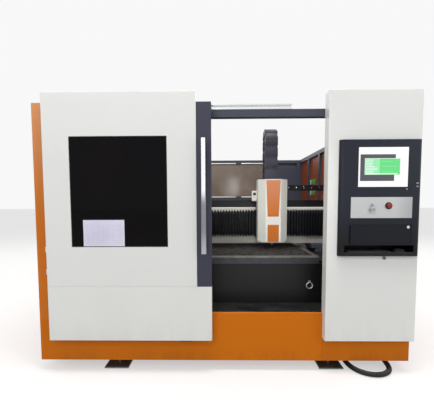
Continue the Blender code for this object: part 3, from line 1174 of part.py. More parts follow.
def chain_pivots(before, centre, start_angle, end_angle, radius, after, axes, pitch):
    """Pin places along a straight run, a bend and a straight run. The pitch is fitted to the whole length."""
    line = list(before)
    for index in range(1, ROUND_SIDES):
        angle = start_angle + (end_angle - start_angle) * index / ROUND_SIDES
        line.append(centre + axes[0] * radius * math.cos(angle) + axes[1] * radius * math.sin(angle))
    line.extend(after)
    runs = [(b - a).length for a, b in zip(line, line[1:])]
    count = 2 * round(sum(runs) / pitch / 2) + 1
    fitted = sum(runs) / count
    places, walked = [line[0]], 0
    for a, b, run in zip(line, line[1:], runs):
        while len(places) < count and walked + run >= fitted * len(places):
            places.append(a.lerp(b, (fitted * len(places) - walked) / run))
        walked += run
    places.append(line[-1])
    return places


def link_reach(thick):
    """How far a link's end lies beyond its pin. Its end is flat, as the number of steps is odd."""
    return thick / 2 * math.cos(math.pi / 2 / LINK_END_STEPS)


def link_plate(bm, a, b, across, inner, outer, half_height):
    """One side plate from pin to pin, with round ends, between two places across the chain."""
    along = (b - a).normalized()
    up = across.cross(along)
    outline = []
    for centre, turn in ((b, -math.pi / 2), (a, math.pi / 2)):
        for step in range(LINK_END_STEPS + 1):
            angle = turn + math.pi * step / LINK_END_STEPS
            outline.append(centre + along * half_height * math.cos(angle) + up * half_height * math.sin(angle))
    near = [bm.verts.new(point + across * inner) for point in outline]
    far = [bm.verts.new(point + across * outer) for point in outline]
    bm.faces.new(near)
    bm.faces.new(reversed(far))
    for index in range(len(outline)):
        bm.faces.new((near[index - 1], near[index], far[index], far[index - 1]))


def cable_chain(m, name, pivots, across, width, thick, frame):
    """Links joined by pins: outer and inner links alternate, each with two side plates and two cross bars."""
    outer_links, inner_links, bars, pins = bmesh.new(), bmesh.new(), bmesh.new(), bmesh.new()
    for index, (a, b) in enumerate(zip(pivots, pivots[1:])):
        inset = LINK_PLATE / 2 * (index % 2)
        half_height = thick / 2 - LINK_STEP * (index % 2)
        edge = width / 2 - inset
        group = inner_links if index % 2 else outer_links
        link_plate(group, a, b, across, edge - LINK_PLATE, edge, half_height)
        link_plate(group, a, b, across, LINK_PLATE - edge, -edge, half_height)
        along = (b - a).normalized()
        turn = Matrix((along, across, along.cross(across))).transposed().to_4x4()
        reach, bar = (b - a).length / 4, half_height - LINK_STEP
        for low, high in ((-bar, LINK_BAR - bar), (bar - LINK_BAR, bar)):
            verts = box_into(bars, (-reach, LINK_PLATE / 2 - edge, low), (reach, edge - LINK_PLATE / 2, high))
            bmesh.ops.transform(bars, matrix=Matrix.Translation((a + b) / 2) @ turn, verts=verts)
    tilt = across.to_track_quat("Z", "Y").to_matrix().to_4x4()
    reach = (LINK_PLATE * 3 / 2 + LINK_PIN_PROUD) / 2
    for pivot in pivots:
        for side in (-1, 1):
            middle = Matrix.Translation(pivot + across * side * (width / 2 + LINK_PIN_PROUD - reach))
            bmesh.ops.create_cone(pins, cap_ends=True, segments=LINK_PIN_SIDES, radius1=LINK_PIN_RADIUS,
                                  radius2=LINK_PIN_RADIUS, depth=reach * 2, matrix=middle @ tilt)
    for group in (outer_links, inner_links):
        bmesh.ops.recalc_face_normals(group, faces=group.faces)
    item = m.part(name, mesh_from(outer_links, name), "chain_plastic", frame)
    for group in (inner_links, bars, pins):
        m.add(item, mesh_from(group, "links"))
    return item


def build_x_chain(m):
    front, rear = TRAY_FRONT, TRAY_FRONT + CHAIN_TRAY_WIDTH
    low, top, wall = BEAM_HIGH + GAP, TRAY_TOP, CHAIN_TRAY_WALL
    outline = [(front, low), (rear, low), (rear, top), (rear - wall, top), (rear - wall, low + wall),
               (front + wall, low + wall), (front + wall, top), (front, top)]
    reach = BEAM_HALF - END_FLANGE
    m.part("chain_tray", prism(outline, "X", -reach, reach * 2), "black_paint", "gantry")
    middle = (front + rear) / 2
    radius = (X_CHAIN_HIGH - X_CHAIN_LOW) / 2
    start = HEAD_X + ARM_RIGHT + GAP + link_reach(X_CHAIN_THICK)
    pivots = chain_pivots(
        [Vector((start, middle, X_CHAIN_HIGH)), Vector((X_CHAIN_BEND_X, middle, X_CHAIN_HIGH))],
        Vector((X_CHAIN_BEND_X, middle, X_CHAIN_LOW + radius)), math.pi / 2, -math.pi / 2, radius,
        [Vector((X_CHAIN_BEND_X, middle, X_CHAIN_LOW)), Vector((X_CHAIN_ANCHOR, middle, X_CHAIN_LOW))],
        (Vector((1, 0, 0)), Vector((0, 0, 1))), X_CHAIN_PITCH)
    cable_chain(m, "x_cable_chain", pivots, Vector((0, 1, 0)), X_CHAIN_WIDTH, X_CHAIN_THICK, "gantry")


# Carriage, head cover and cutting head

def cover_outline(inset):
    """Plan of the head cover: flat nose, two slanted cheeks, straight sides. Inset gives its inner face."""
    left, right = CARRIAGE_LEFT + inset, CARRIAGE_RIGHT - inset
    slope = COVER_CORNER_DEPTH / COVER_CORNER_WIDTH
    slant = inset * (math.sqrt(1 + slope * slope) - slope)
    nose_left = CARRIAGE_LEFT + COVER_CORNER_WIDTH + inset * (math.sqrt(1 + slope * slope) - 1) / slope
    nose_right = CARRIAGE_RIGHT - COVER_CORNER_WIDTH - inset * (math.sqrt(1 + slope * slope) - 1) / slope
    cheek = COVER_FRONT + COVER_CORNER_DEPTH + slant
    rear = COVER_REAR + (OVERRUN if inset else 0)
    return [(left, rear), (left, cheek), (nose_left, COVER_FRONT + inset), (nose_right, COVER_FRONT + inset),
            (right, cheek), (right, rear)]


def build_carriage(m):
    m.moving_frame("carriage", travel=(-HEAD_LEFT_TRAVEL, HEAD_RIGHT_TRAVEL))
    plate = m.part("carriage_plate", boxes(((CARRIAGE_LEFT, CARRIAGE_FRONT, CARRIAGE_LOW),
                                            (CARRIAGE_RIGHT, CARRIAGE_REAR, CARRIAGE_HIGH))), "grey_paint",
                   "carriage")
    m.cut(plate, boxes(((CARRIAGE_LEFT - OVERRUN, CARRIAGE_FRONT + CARRIAGE_THICK / 2, BEAM_HIGH + END_FLANGE),
                        (CARRIAGE_RIGHT + OVERRUN, CARRIAGE_REAR + OVERRUN, ARM_LOW - END_FLANGE))))
    slots = []
    for height in X_GUIDE_HEIGHTS:
        reach = X_GUIDE_WIDTH / 2 + GAP
        slots.append(((CARRIAGE_LEFT - OVERRUN, BEAM_FRONT - X_GUIDE_DEPTH - GAP, height - reach),
                      (CARRIAGE_RIGHT + OVERRUN, CARRIAGE_REAR + OVERRUN, height + reach)))
    m.cut(plate, boxes(*slots))
    chain_rear = TRAY_FRONT + CHAIN_TRAY_WIDTH
    m.add(plate, boxes(((HEAD_X - MODULE_WIDTH / 2, CARRIAGE_REAR - CARRIAGE_THICK / 2, ARM_LOW),
                        (HEAD_X + ARM_RIGHT, chain_rear, ARM_HIGH))))
    m.add(plate, boxes(((HEAD_X - MODULE_WIDTH / 2, CARRIAGE_FRONT - MODULE_DEPTH, CARRIAGE_LOW + END_FLANGE),
                        (HEAD_X + MODULE_WIDTH / 2, CARRIAGE_FRONT + GAP * 2, CARRIAGE_HIGH - EDGE_SOFT))))

    cover = m.part("head_cover", prism(cover_outline(0), "Z", COVER_LOW, COVER_HIGH - COVER_LOW), "white_paint",
                   "carriage")
    m.cut(cover, prism(cover_outline(COVER_SHEET), "Z", COVER_LOW - OVERRUN,
                       COVER_HIGH - COVER_SHEET - COVER_LOW + OVERRUN))
    strip_left = CARRIAGE_LEFT + COVER_CORNER_WIDTH + STRIP_SIDE
    strip_right = CARRIAGE_RIGHT - COVER_CORNER_WIDTH - STRIP_SIDE
    m.part("cover_strip", soft_box((strip_left, COVER_FRONT - GAP - STRIP_THICK, COVER_LOW + STRIP_SIDE),
                                   (strip_right, COVER_FRONT - GAP, COVER_HIGH - STRIP_SIDE),
                                   STRIP_THICK / 3, "XYZ", 1), "orange_paint", "carriage")
    sensor_right = CARRIAGE_LEFT - GAP
    sensor_front = COVER_FRONT + SENSOR_SET_BACK
    sensor = m.part("sensor_box", soft_box((sensor_right - SENSOR_WIDTH, sensor_front, SENSOR_LOW),
                                           (sensor_right, sensor_front + SENSOR_DEPTH, SENSOR_HIGH)), "white_paint",
                    "carriage")
    m.add(sensor, rods(((sensor_right - SENSOR_WIDTH / 2, sensor_front - SENSOR_LENS, SENSOR_LOW + SENSOR_WIDTH / 2),
                        "Y", SENSOR_LENS * 2, SENSOR_LENS)))
    build_z_chain(m)


def build_z_chain(m):
    radius = Z_CHAIN_LOOP / 2
    bend_z = Z_CHAIN_TOP - radius - Z_CHAIN_THICK / 2
    rear = Z_CHAIN_FRONT + Z_CHAIN_LOOP
    seat = GAP + link_reach(Z_CHAIN_THICK)
    pivots = chain_pivots(
        [Vector((HEAD_X, Z_CHAIN_FRONT, COVER_HIGH + seat)), Vector((HEAD_X, Z_CHAIN_FRONT, bend_z))],
        Vector((HEAD_X, Z_CHAIN_FRONT + radius, bend_z)), math.pi, 0, radius,
        [Vector((HEAD_X, rear, bend_z)), Vector((HEAD_X, rear, ARM_HIGH + seat))],
        (Vector((0, 1, 0)), Vector((0, 0, 1))), Z_CHAIN_PITCH)
    cable_chain(m, "head_cable_chain", pivots, Vector((1, 0, 0)), Z_CHAIN_WIDTH, Z_CHAIN_THICK, "carriage")


def build_cutting_head(m):
    m.moving_frame("cutting_head", travel=(-Z_DOWN, Z_UP))
    slider_back = CARRIAGE_FRONT - MODULE_DEPTH - GAP
    height = HEAD_TOP - HEAD_LOW
    profile = [(0, HEAD_TOP), (HEAD_RADIUS, HEAD_TOP)]
    for share in sorted(HEAD_FLANGE_LOW_SHARES, reverse=True):
        low = HEAD_LOW + height * share
        high = low + height * HEAD_FLANGE_SHARE
        profile += [(HEAD_RADIUS, high), (HEAD_FLANGE_RADIUS, high), (HEAD_FLANGE_RADIUS, low), (HEAD_RADIUS, low)]
    profile += [(HEAD_RADIUS, HEAD_LOW + height * HEAD_CONE_SHARE), (HEAD_NECK_RADIUS, HEAD_LOW + height * HEAD_CONE_SHARE / 2),
                (HEAD_NECK_RADIUS, HEAD_LOW), (0, HEAD_LOW)]
    head = turned(m, "cutting_head", profile, (HEAD_X, HEAD_Y, 0), "brushed_steel", "cutting_head")
    m.add(head, boxes(((HEAD_X - SLIDER_WIDTH / 2, slider_back - SLIDER_THICK, SLIDER_LOW),
                       (HEAD_X + SLIDER_WIDTH / 2, slider_back, SLIDER_HIGH)),))
    m.add(head, boxes(((HEAD_X - HEAD_RADIUS / 2, HEAD_Y, SLIDER_LOW + SLIDER_THICK),
                       (HEAD_X + HEAD_RADIUS / 2, slider_back - SLIDER_THICK / 2, SLIDER_HIGH - SLIDER_THICK))))
    nozzle_top = HEAD_LOW - GAP
    nozzle_profile = [(NOZZLE_BORE, nozzle_top), (NOZZLE_TOP_RADIUS, nozzle_top),
                      (NOZZLE_TOP_RADIUS, nozzle_top - (nozzle_top - NOZZLE_TIP) / 3),
                      (NOZZLE_TIP_RADIUS, NOZZLE_TIP), (NOZZLE_BORE, NOZZLE_TIP), (NOZZLE_BORE, nozzle_top)]
    turned(m, "nozzle", nozzle_profile, (HEAD_X, HEAD_Y, 0), "copper", "cutting_head")


def turned(m, name, profile, place, paint, frame):
    """A profile turned about an upright axis with a Screw modifier. The profile runs top to bottom."""
    bm = bmesh.new()
    line = [bm.verts.new((radius, 0, height)) for radius, height in profile[:-1]]
    closed = profile[0] == profile[-1]
    if not closed:
        line.append(bm.verts.new((profile[-1][0], 0, profile[-1][1])))
    for a, b in zip(line, line[1:]):
        bm.edges.new((a, b))
    if closed:
        bm.edges.new((line[-1], line[0]))
    mesh = mesh_from(bm, name)
    item = m.part(name, mesh, paint, frame)
    item.location = Vector(place) - m.frames[frame][1]
    mesh.transform(Matrix.Translation(m.frames[frame][1]))
    screw = item.modifiers.new("turn", "SCREW")
    screw.axis = "Z"
    screw.steps = ROUND_SIDES
    screw.render_steps = ROUND_SIDES
    screw.use_merge_vertices = True
    screw.merge_threshold = WELD_REACH / 10
    screw.use_smooth_shade = True
    return item


# Scrap drawer under the bed, pulled out at the back

def build_drawer(m):
    m.moving_frame("scrap_drawer", travel=(0.0, DRAWER_TRAVEL))
    low = FLOOR_TOP + GAP
    start = BODY_REAR - DRAWER_LENGTH
    drawer = m.part("scrap_drawer", boxes(((-DRAWER_HALF, start, low), (DRAWER_HALF, BODY_REAR, DRAWER_TOP))),
                    "orange_paint", "scrap_drawer")
    m.cut(drawer, boxes(((-DRAWER_HALF + DRAWER_WALL, start + DRAWER_WALL, low + DRAWER_WALL),
                         (DRAWER_HALF - DRAWER_WALL, BODY_REAR - DRAWER_WALL, DRAWER_TOP + OVERRUN))))
    height = (low + DRAWER_TOP) / 2
    wire = DRAWER_PULL_WIRE
    pull = DRAWER_PULL_WIDTH / 2
    m.add(drawer, boxes(((-pull, BODY_REAR - DRAWER_WALL / 2, height - wire), (-pull + wire * 2, BODY_REAR + DRAWER_PULL_REACH, height + wire)),
                        ((pull - wire * 2, BODY_REAR - DRAWER_WALL / 2, height - wire), (pull, BODY_REAR + DRAWER_PULL_REACH, height + wire))))
    m.add(drawer, boxes(((-pull, BODY_REAR + DRAWER_PULL_REACH - wire, height - wire),
                         (pull, BODY_REAR + DRAWER_PULL_REACH, height + wire))))


# Hose loop on the floor at the right front corner

def smooth_route(points, steps):
    """Points of the smooth curve that passes through the route's own points."""
    route = [Vector(point) for point in points]
    curve = []
    for index in range(len(route) - 1):
        before = route[max(index - 1, 0)]
        a, b = route[index], route[index + 1]
        after = route[min(index + 2, len(route) - 1)]
        for step in range(steps):
            t = step / steps
            curve.append(((a * 2) + (b - before) * t + (before * 2 - a * 5 + b * 4 - after) * t * t
                          + (a * 3 - before - b * 3 + after) * t * t * t) / 2)
    curve.append(route[-1])
    return curve


def build_hose(m):
    points = [(BODY_HALF - inset, y, z) for inset, y, z in HOSE_POINTS]
    for mark, point in (("left", points[0]), ("right", points[-1])):
        x, y = point[0], point[1] + GAP
        top = UNDERSIDE - GAP
        gland = m.part(f"hose_gland_{mark}", soft_box(
            (x - GLAND_WIDTH / 2, y + GLAND_NUT_LENGTH, top - GLAND_HEIGHT),
            (x + GLAND_WIDTH / 2, y + GLAND_NUT_LENGTH + GLAND_LENGTH, top), EDGE_SOFT, "Y"), "black_plastic")
        m.add(gland, rods(((x, y, point[2]), "Y", GLAND_NUT_LENGTH + GLAND_LENGTH / 2, GLAND_NUT_RADIUS, None, 6)))
    curve = bpy.data.curves.new("hose", "CURVE")
    curve.dimensions = "3D"
    curve.bevel_depth = HOSE_RADIUS
    curve.bevel_resolution = HOSE_STEPS
    curve.use_fill_caps = True
    line = smooth_route(points, 2)
    spline = curve.splines.new("POLY")
    spline.points.add(len(line) - 1)
    for point, place in zip(spline.points, line):
        point.co = (*place, 1)
    hose = bpy.data.objects.new("hose", curve)
    m.parts.objects.link(hose)
    hose.parent = m.datum
    curve.materials.append(m.paints["black_rubber"])


def main():
    m = Builder()
    build_base(m)
    build_walls(m)
    build_feet(m)
    build_front(m)
    build_door(m)
    build_column(m)
    build_console(m)
    build_bed(m)
    build_slats(m)
    build_rails(m)
    build_gantry(m)
    build_carriage(m)
    build_cutting_head(m)
    build_drawer(m)
    build_hose(m)


main()
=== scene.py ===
# Finish of the fibre laser cutting machine: paint, steel, glass, bellows, cable chains, screen, hose, light.
import random
from math import asin, cos, pi, radians, sin

import bmesh
import bpy
from mathutils import Matrix, Vector


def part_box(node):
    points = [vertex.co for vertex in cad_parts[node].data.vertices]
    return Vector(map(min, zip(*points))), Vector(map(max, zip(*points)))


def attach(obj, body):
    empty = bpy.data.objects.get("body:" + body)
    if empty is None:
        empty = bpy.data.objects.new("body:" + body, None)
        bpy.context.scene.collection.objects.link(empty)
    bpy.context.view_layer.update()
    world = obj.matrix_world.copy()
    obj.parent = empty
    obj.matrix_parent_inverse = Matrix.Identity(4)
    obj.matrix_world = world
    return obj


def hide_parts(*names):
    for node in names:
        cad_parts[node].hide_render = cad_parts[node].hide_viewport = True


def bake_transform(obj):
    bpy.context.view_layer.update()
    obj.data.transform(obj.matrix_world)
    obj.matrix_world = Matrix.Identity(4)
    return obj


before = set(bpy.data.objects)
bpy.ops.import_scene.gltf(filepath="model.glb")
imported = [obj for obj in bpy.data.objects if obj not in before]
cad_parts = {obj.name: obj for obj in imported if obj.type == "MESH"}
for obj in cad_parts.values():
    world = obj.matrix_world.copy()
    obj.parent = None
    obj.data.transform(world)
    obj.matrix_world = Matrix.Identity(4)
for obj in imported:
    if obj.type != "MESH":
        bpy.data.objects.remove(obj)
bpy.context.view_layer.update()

scene = bpy.context.scene
middle = 1.90  # the machine's own Y starts at its front face, the frame's at its middle
bothSides = ((-1, "left"), (1, "right"))
rightward, forward, rearward, upward = (1, 0, 0), (0, -1, 0), (0, 1, 0), (0, 0, 1)


def at(x, y, z):
    return Vector((x, y - middle, z))


# Camera: at eye height in front of the door's right edge, a little tilted down

cameraFacts = dict(place=(0.0, -4.4236, 1.40), yaw=-0.9, pitch=4.0, roll=-0.2, focal=324.0, shift=(-1.0, 24.0),
                   photoWidth=434, sensor=36.0)


def addCamera(place, yaw, pitch, roll, focal, shift, photoWidth, sensor):
    yaw, pitch, roll = radians(yaw), radians(pitch), radians(roll)
    ahead = Vector((sin(yaw) * cos(pitch), cos(yaw) * cos(pitch), -sin(pitch)))
    right = Vector((cos(yaw), -sin(yaw), 0))
    up = right.cross(ahead)
    axes = Matrix((right * cos(roll) + up * sin(roll), up * cos(roll) - right * sin(roll), -ahead))
    data = bpy.data.cameras.new("camera")
    data.sensor_width = sensor
    data.lens = focal / photoWidth * sensor
    data.shift_x, data.shift_y = (value / photoWidth for value in shift)
    camera = bpy.data.objects.new("camera", data)
    camera.matrix_world = Matrix.Translation(place) @ axes.transposed().to_4x4()
    scene.collection.objects.link(camera)
    scene.camera = camera


addCamera(**cameraFacts)
print("camera stands")


# Meshes

def circle(radius, sides, height=0.0):
    turns = (2 * pi * step / sides for step in range(sides))
    return [Vector((radius * cos(turn), radius * sin(turn), height)) for turn in turns]


def bridge(part, ring, following):
    for step in range(len(ring)):
        part.faces.new((ring[step - 1], ring[step], following[step], following[step - 1]))


def soften(part, soft, steps=1):
    if soft > 0:
        bmesh.ops.bevel(part, geom=list(part.edges), offset=soft, segments=steps, affect="EDGES", profile=0.5)


def merge(shape, part, matrix=None, paint=0):
    for face in part.faces:
        face.material_index = paint
    if matrix is not None:
        part.transform(matrix)
    held = bpy.data.meshes.new("held")
    part.to_mesh(held)
    part.free()
    shape.from_mesh(held)
    bpy.data.meshes.remove(held)


def softBox(shape, low, high, soft=0.0, steps=2, paint=0, matrix=None):
    low, high = Vector(low), Vector(high)
    size = high - low
    part = bmesh.new()
    bmesh.ops.create_cube(part, size=1.0, matrix=Matrix.LocRotScale((low + high) / 2, None, size))
    soften(part, min(soft, min(size) * 0.45), steps)
    merge(shape, part, matrix, paint)


def turned(shape, place, axis, profile, sides=24, paint=0):
    # profile: (radius, height along the axis) pairs from one end to the other
    part = bmesh.new()
    rings = [[part.verts.new(point) for point in circle(radius, sides if radius > 0 else 1, height)]
             for radius, height in profile]
    for ring, following in zip(rings, rings[1:]):
        for step in range(sides):
            corners = dict.fromkeys(row[number % len(row)] for row, number in (
                (ring, step), (ring, step + 1), (following, step + 1), (following, step)))
            if len(corners) > 2:
                part.faces.new(list(corners))
    for ring in (rings[0], rings[-1]):
        if len(ring) > 2:
            part.faces.new(ring)
    turn = Vector(axis).to_track_quat("Z", "Y").to_matrix().to_4x4()
    merge(shape, part, Matrix.Translation(place) @ turn, paint)


def extruded(shape, corners, offset, soft=0.0, paint=0, matrix=None):
    part = bmesh.new()
    near = [part.verts.new(Vector(corner)) for corner in corners]
    far = [part.verts.new(Vector(corner) + Vector(offset)) for corner in corners]
    part.faces.new(near)
    part.faces.new(reversed(far))
    bridge(part, near, far)
    bmesh.ops.recalc_face_normals(part, faces=part.faces)
    soften(part, soft)
    merge(shape, part, matrix, paint)


def tube(shape, points, radii, sides, paint=0, closed=False):
    part = bmesh.new()
    count = len(points)
    rings, side = [], None
    for index, (point, radius) in enumerate(zip(points, radii)):
        before = points[index - 1] if index or closed else point
        after = points[(index + 1) % count] if index < count - 1 or closed else point
        along = (after - before).normalized()
        side = side or along.orthogonal()
        side = (side - along * side.dot(along)).normalized()
        other = along.cross(side)
        rings.append([part.verts.new(point + side * spot.x + other * spot.y) for spot in circle(radius, sides)])
    for ring, following in zip(rings, rings[1:] + (rings[:1] if closed else [])):
        bridge(part, ring, following)
    if not closed:
        part.faces.new(rings[0])
        part.faces.new(reversed(rings[-1]))
    merge(shape, part, None, paint)


def smoothRoute(points, steps):
    ends = [points[0] * 2 - points[1]] + points + [points[-1] * 2 - points[-2]]
    route = []
    for a, b, c, d in zip(ends, ends[1:], ends[2:], ends[3:]):
        for t in (step / steps for step in range(steps)):
            route.append((b * 2 + (c - a) * t + (a * 2 - b * 5 + c * 4 - d) * t ** 2
                          + (b * 3 - a - c * 3 + d) * t ** 3) / 2)
    return route + [points[-1]]


def evenRoute(points, pitch):
    runs = [(b - a).length for a, b in zip(points, points[1:])]
    total = sum(runs)
    count = max(2, round(total / pitch))
    places, walked, target = [points[0]], 0.0, total / count
    for a, b, run in zip(points, points[1:], runs):
        while len(places) < count and walked + run >= target * len(places):
            places.append(a.lerp(b, (target * len(places) - walked) / run))
        walked += run
    return places + [points[-1]], total


def makePiece(name, shape, materials, body=None, replaces=(), angle=35):
    bmesh.ops.recalc_face_normals(shape, faces=shape.faces)
    mesh = bpy.data.meshes.new(name)
    shape.to_mesh(mesh)
    shape.free()
    for material in materials:
        mesh.materials.append(material)
    mesh.polygons.foreach_set("use_smooth", [True] * len(mesh.polygons))
    mesh.set_sharp_from_angle(angle=radians(angle))
    piece = bpy.data.objects.new(name, mesh)
    scene.collection.objects.link(piece)
    if body:
        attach(piece, body)
    if replaces:
        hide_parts(*replaces)
    return piece


# Shader building blocks. Colours are written as 0 to 255 and become linear where they enter a socket.

def linear(red, green, blue):
    shares = (value / 255 for value in (red, green, blue))
    return tuple(s / 12.92 if s <= 0.04045 else ((s + 0.055) / 1.055) ** 2.4 for s in shares) + (1.0,)


def feed(tree, node, inputs):
    for key, value in inputs.items():
        socket = node.inputs[key]
        if isinstance(value, bpy.types.NodeSocket):
            tree.links.new(value, socket)
        else:
            socket.default_value = linear(*value) if socket.type == "RGBA" else value


def put(tree, kind, inputs=None, **settings):
    node = tree.nodes.new("ShaderNode" + kind)
    for key, value in settings.items():
        setattr(node, key, value)
    feed(tree, node, inputs or {})
    return node


def calc(tree, operation, *values):
    return put(tree, "Math", dict(enumerate(values)), operation=operation).outputs[0]


def scaled(tree, value, factor, shift):
    return calc(tree, "MULTIPLY_ADD", value, factor, shift)


def product(tree, value, *others):
    for other in others:
        value = calc(tree, "MULTIPLY", value, other)
    return value


def vectorCalc(tree, operation, first, second):
    return put(tree, "VectorMath", {0: first, 1: second}, operation=operation).outputs[0]


def placeIn(tree):
    return put(tree, "TexCoord").outputs["Object"]


def axesOf(tree, vector):
    return put(tree, "SeparateXYZ", {0: vector}).outputs


def ramp(tree, value, low, high):
    return put(tree, "MapRange", {"Value": value, "From Min": low, "From Max": high},
               interpolation_type="SMOOTHSTEP").outputs[0]


def blendColour(tree, share, first, second):
    return put(tree, "Mix", {0: share, 6: first, 7: second}, data_type="RGBA").outputs[2]


def noiseValue(tree, scale, detail=2.0, roughness=0.5, vector=None):
    return put(tree, "TexNoise", {"Scale": scale, "Detail": detail, "Roughness": roughness,
                                  "Vector": vector or placeIn(tree)}).outputs["Fac"]


def newGroup(name, outputs, **inputs):
    group = bpy.data.node_groups.new(name, "ShaderNodeTree")
    for label, value in inputs.items():
        kind = "NodeSocketVector" if isinstance(value, tuple) else "NodeSocketFloat"
        group.interface.new_socket(name=label, in_out="INPUT", socket_type=kind).default_value = value
    for label in outputs:
        group.interface.new_socket(name=label, in_out="OUTPUT", socket_type="NodeSocketFloat")
    return group, group.nodes.new("NodeGroupInput").outputs, group.nodes.new("NodeGroupOutput")


def addPowderCoat():
    group, given, result = newGroup("powderCoat", ("Height", "Tone"), Grain=500.0, Unevenness=0.06)
    fine = noiseValue(group, given["Grain"], 2.0, 0.6)
    coarse = noiseValue(group, product(group, given["Grain"], 0.22), 1.0)
    shift = calc(group, "SUBTRACT", noiseValue(group, 1.7, 4.0, 0.55), 0.5)
    feed(group, result, {"Height": scaled(group, coarse, 0.6, fine),
                         "Tone": scaled(group, shift, given["Unevenness"], 1.0)})


def addEdgeWear():
    # second smallest distance to the faces of a box: small along its edges only
    group, given, result = newGroup("edgeWear", ("Mask",), Low=(0, 0, 0), High=(1, 1, 1), Width=0.01, Amount=0.5)
    place = placeIn(group)
    axes = axesOf(group, vectorCalc(group, "MINIMUM", vectorCalc(group, "SUBTRACT", place, given["Low"]),
                                    vectorCalc(group, "SUBTRACT", given["High"], place)))
    smaller, larger = calc(group, "MINIMUM", axes[0], axes[1]), calc(group, "MAXIMUM", axes[0], axes[1])
    second = calc(group, "MAXIMUM", smaller, calc(group, "MINIMUM", larger, axes[2]))
    band = ramp(group, calc(group, "DIVIDE", second, given["Width"]), 1.0, 0.0)
    rubbed = ramp(group, noiseValue(group, 38.0, 5.0, 0.65), 0.47, 0.62)
    feed(group, result, {"Mask": calc(group, "MINIMUM", product(group, band, rubbed, given["Amount"]), 1.0)})


def addDustFilm():
    group, given, result = newGroup("dustFilm", ("Mask",), Amount=0.3, Scale=9.0)
    level = ramp(group, axesOf(group, put(group, "NewGeometry").outputs["Normal"])[2], 0.55, 0.95)
    cloud = ramp(group, noiseValue(group, given["Scale"], 5.0, 0.6), 0.30, 0.72)
    feed(group, result, {"Mask": product(group, level, cloud, given["Amount"])})


def addGrimeRise():
    # dirt that thins out upwards from the floor
    group, given, result = newGroup("grimeRise", ("Mask",), Top=0.35, Amount=0.4)
    place = placeIn(group)
    rise = ramp(group, calc(group, "DIVIDE", axesOf(group, place)[2], given["Top"]), 1.0, 0.15)
    streaks = vectorCalc(group, "MULTIPLY", place, (9.0, 9.0, 2.2))
    cloud = ramp(group, noiseValue(group, 1.0, 6.0, 0.65, streaks), 0.35, 0.75)
    feed(group, result, {"Mask": product(group, rise, cloud, given["Amount"])})


def addBrushedGrain():
    group, given, result = newGroup("brushedGrain", ("Tone", "Height"), Stretch=(300, 300, 6))
    lines = noiseValue(group, 1.0, 3.0, 0.6, vectorCalc(group, "MULTIPLY", placeIn(group), given["Stretch"]))
    feed(group, result, {"Height": lines, "Tone": scaled(group, noiseValue(group, 4.0, 3.0), 0.4,
                                                         product(group, lines, 0.6))})


def addSmudges():
    group, given, result = newGroup("smudges", ("Mask",), Scale=14.0, Amount=0.3)
    spots = ramp(group, noiseValue(group, given["Scale"], 4.0, 0.7), 0.48, 0.70)
    wide = ramp(group, noiseValue(group, product(group, given["Scale"], 0.23), 2.0), 0.40, 0.65)
    feed(group, result, {"Mask": product(group, spots, wide, given["Amount"])})


for addGroup in (addPowderCoat, addEdgeWear, addDustFilm, addGrimeRise, addBrushedGrain, addSmudges):
    addGroup()


def effect(tree, name, **values):
    return put(tree, "Group", values, node_tree=bpy.data.node_groups[name]).outputs


def newMaterial(name):
    material = bpy.data.materials.new(name)
    material.use_nodes = True
    tree = material.node_tree
    tree.nodes.clear()
    shader = put(tree, "BsdfPrincipled")
    put(tree, "OutputMaterial", {0: shader.outputs[0]})
    return material, tree, shader


def finish(tree, shader, height, strength, distance, inputs):
    bump = put(tree, "Bump", {"Strength": strength, "Distance": distance, "Height": height})
    feed(tree, shader, {**inputs, "Normal": bump.outputs[0]})


def patched(tree, base, regions, shades):
    # hard edged regions first, then soft changes of colour along an axis
    axes = axesOf(tree, placeIn(tree))
    for finder, other in regions:
        base = blendColour(tree, finder(tree, axes), base, other(tree, axes) if callable(other) else other)
    for axis, start, end, other in shades:
        base = blendColour(tree, ramp(tree, axes[axis], start, end), base, other)
    return base


def layered(tree, base, rough, mask, colour, gain):
    return blendColour(tree, mask, base, colour), scaled(tree, mask, gain, rough)


dustColour, grimeColour, bareSteel = (176, 170, 160), (62, 54, 46), (128, 126, 122)
black, unlit, full = (22, 22, 25), (25.46, 25.46, 25.46), (255, 255, 255)


def painted(name, colour, roughness=0.42, grain=520.0, bump=0.12, box=None, wear=0.0, wearWidth=0.006,
            worn=bareSteel, dust=0.22, grime=0.0, grimeTop=0.4, unevenness=0.07, regions=(), coat=0.0,
            metallic=None, smudge=0.25, shades=(), level=0.3):
    material, tree, shader = newMaterial(name)
    skin = effect(tree, "powderCoat", Grain=grain, Unevenness=unevenness)
    base = put(tree, "HueSaturation", {"Value": skin["Tone"],
                                       "Color": patched(tree, colour, regions, shades)}).outputs[0]
    rough = scaled(tree, skin["Height"], 0.05, roughness)
    rough = scaled(tree, effect(tree, "smudges", Scale=11.0, Amount=smudge)["Mask"], 0.35, rough)
    if wear:
        mask = effect(tree, "edgeWear", Low=tuple(box[0]), High=tuple(box[1]), Width=wearWidth, Amount=wear)["Mask"]
        base, rough = layered(tree, base, rough, mask, worn, 0.1)
    if grime:
        mask = effect(tree, "grimeRise", Top=grimeTop, Amount=grime)["Mask"]
        base, rough = layered(tree, base, rough, mask, grimeColour, 0.3)
    if dust:
        base, rough = layered(tree, base, rough, effect(tree, "dustFilm", Amount=dust)["Mask"], dustColour, 0.4)
    if metallic:
        feed(tree, shader, {"Metallic": metallic(tree, axesOf(tree, placeIn(tree)))})
    finish(tree, shader, skin["Height"], bump, 0.0006,
           {"Base Color": base, "Roughness": rough, "Specular IOR Level": level, "Coat Weight": coat,
            "Coat Roughness": 0.12})
    return material


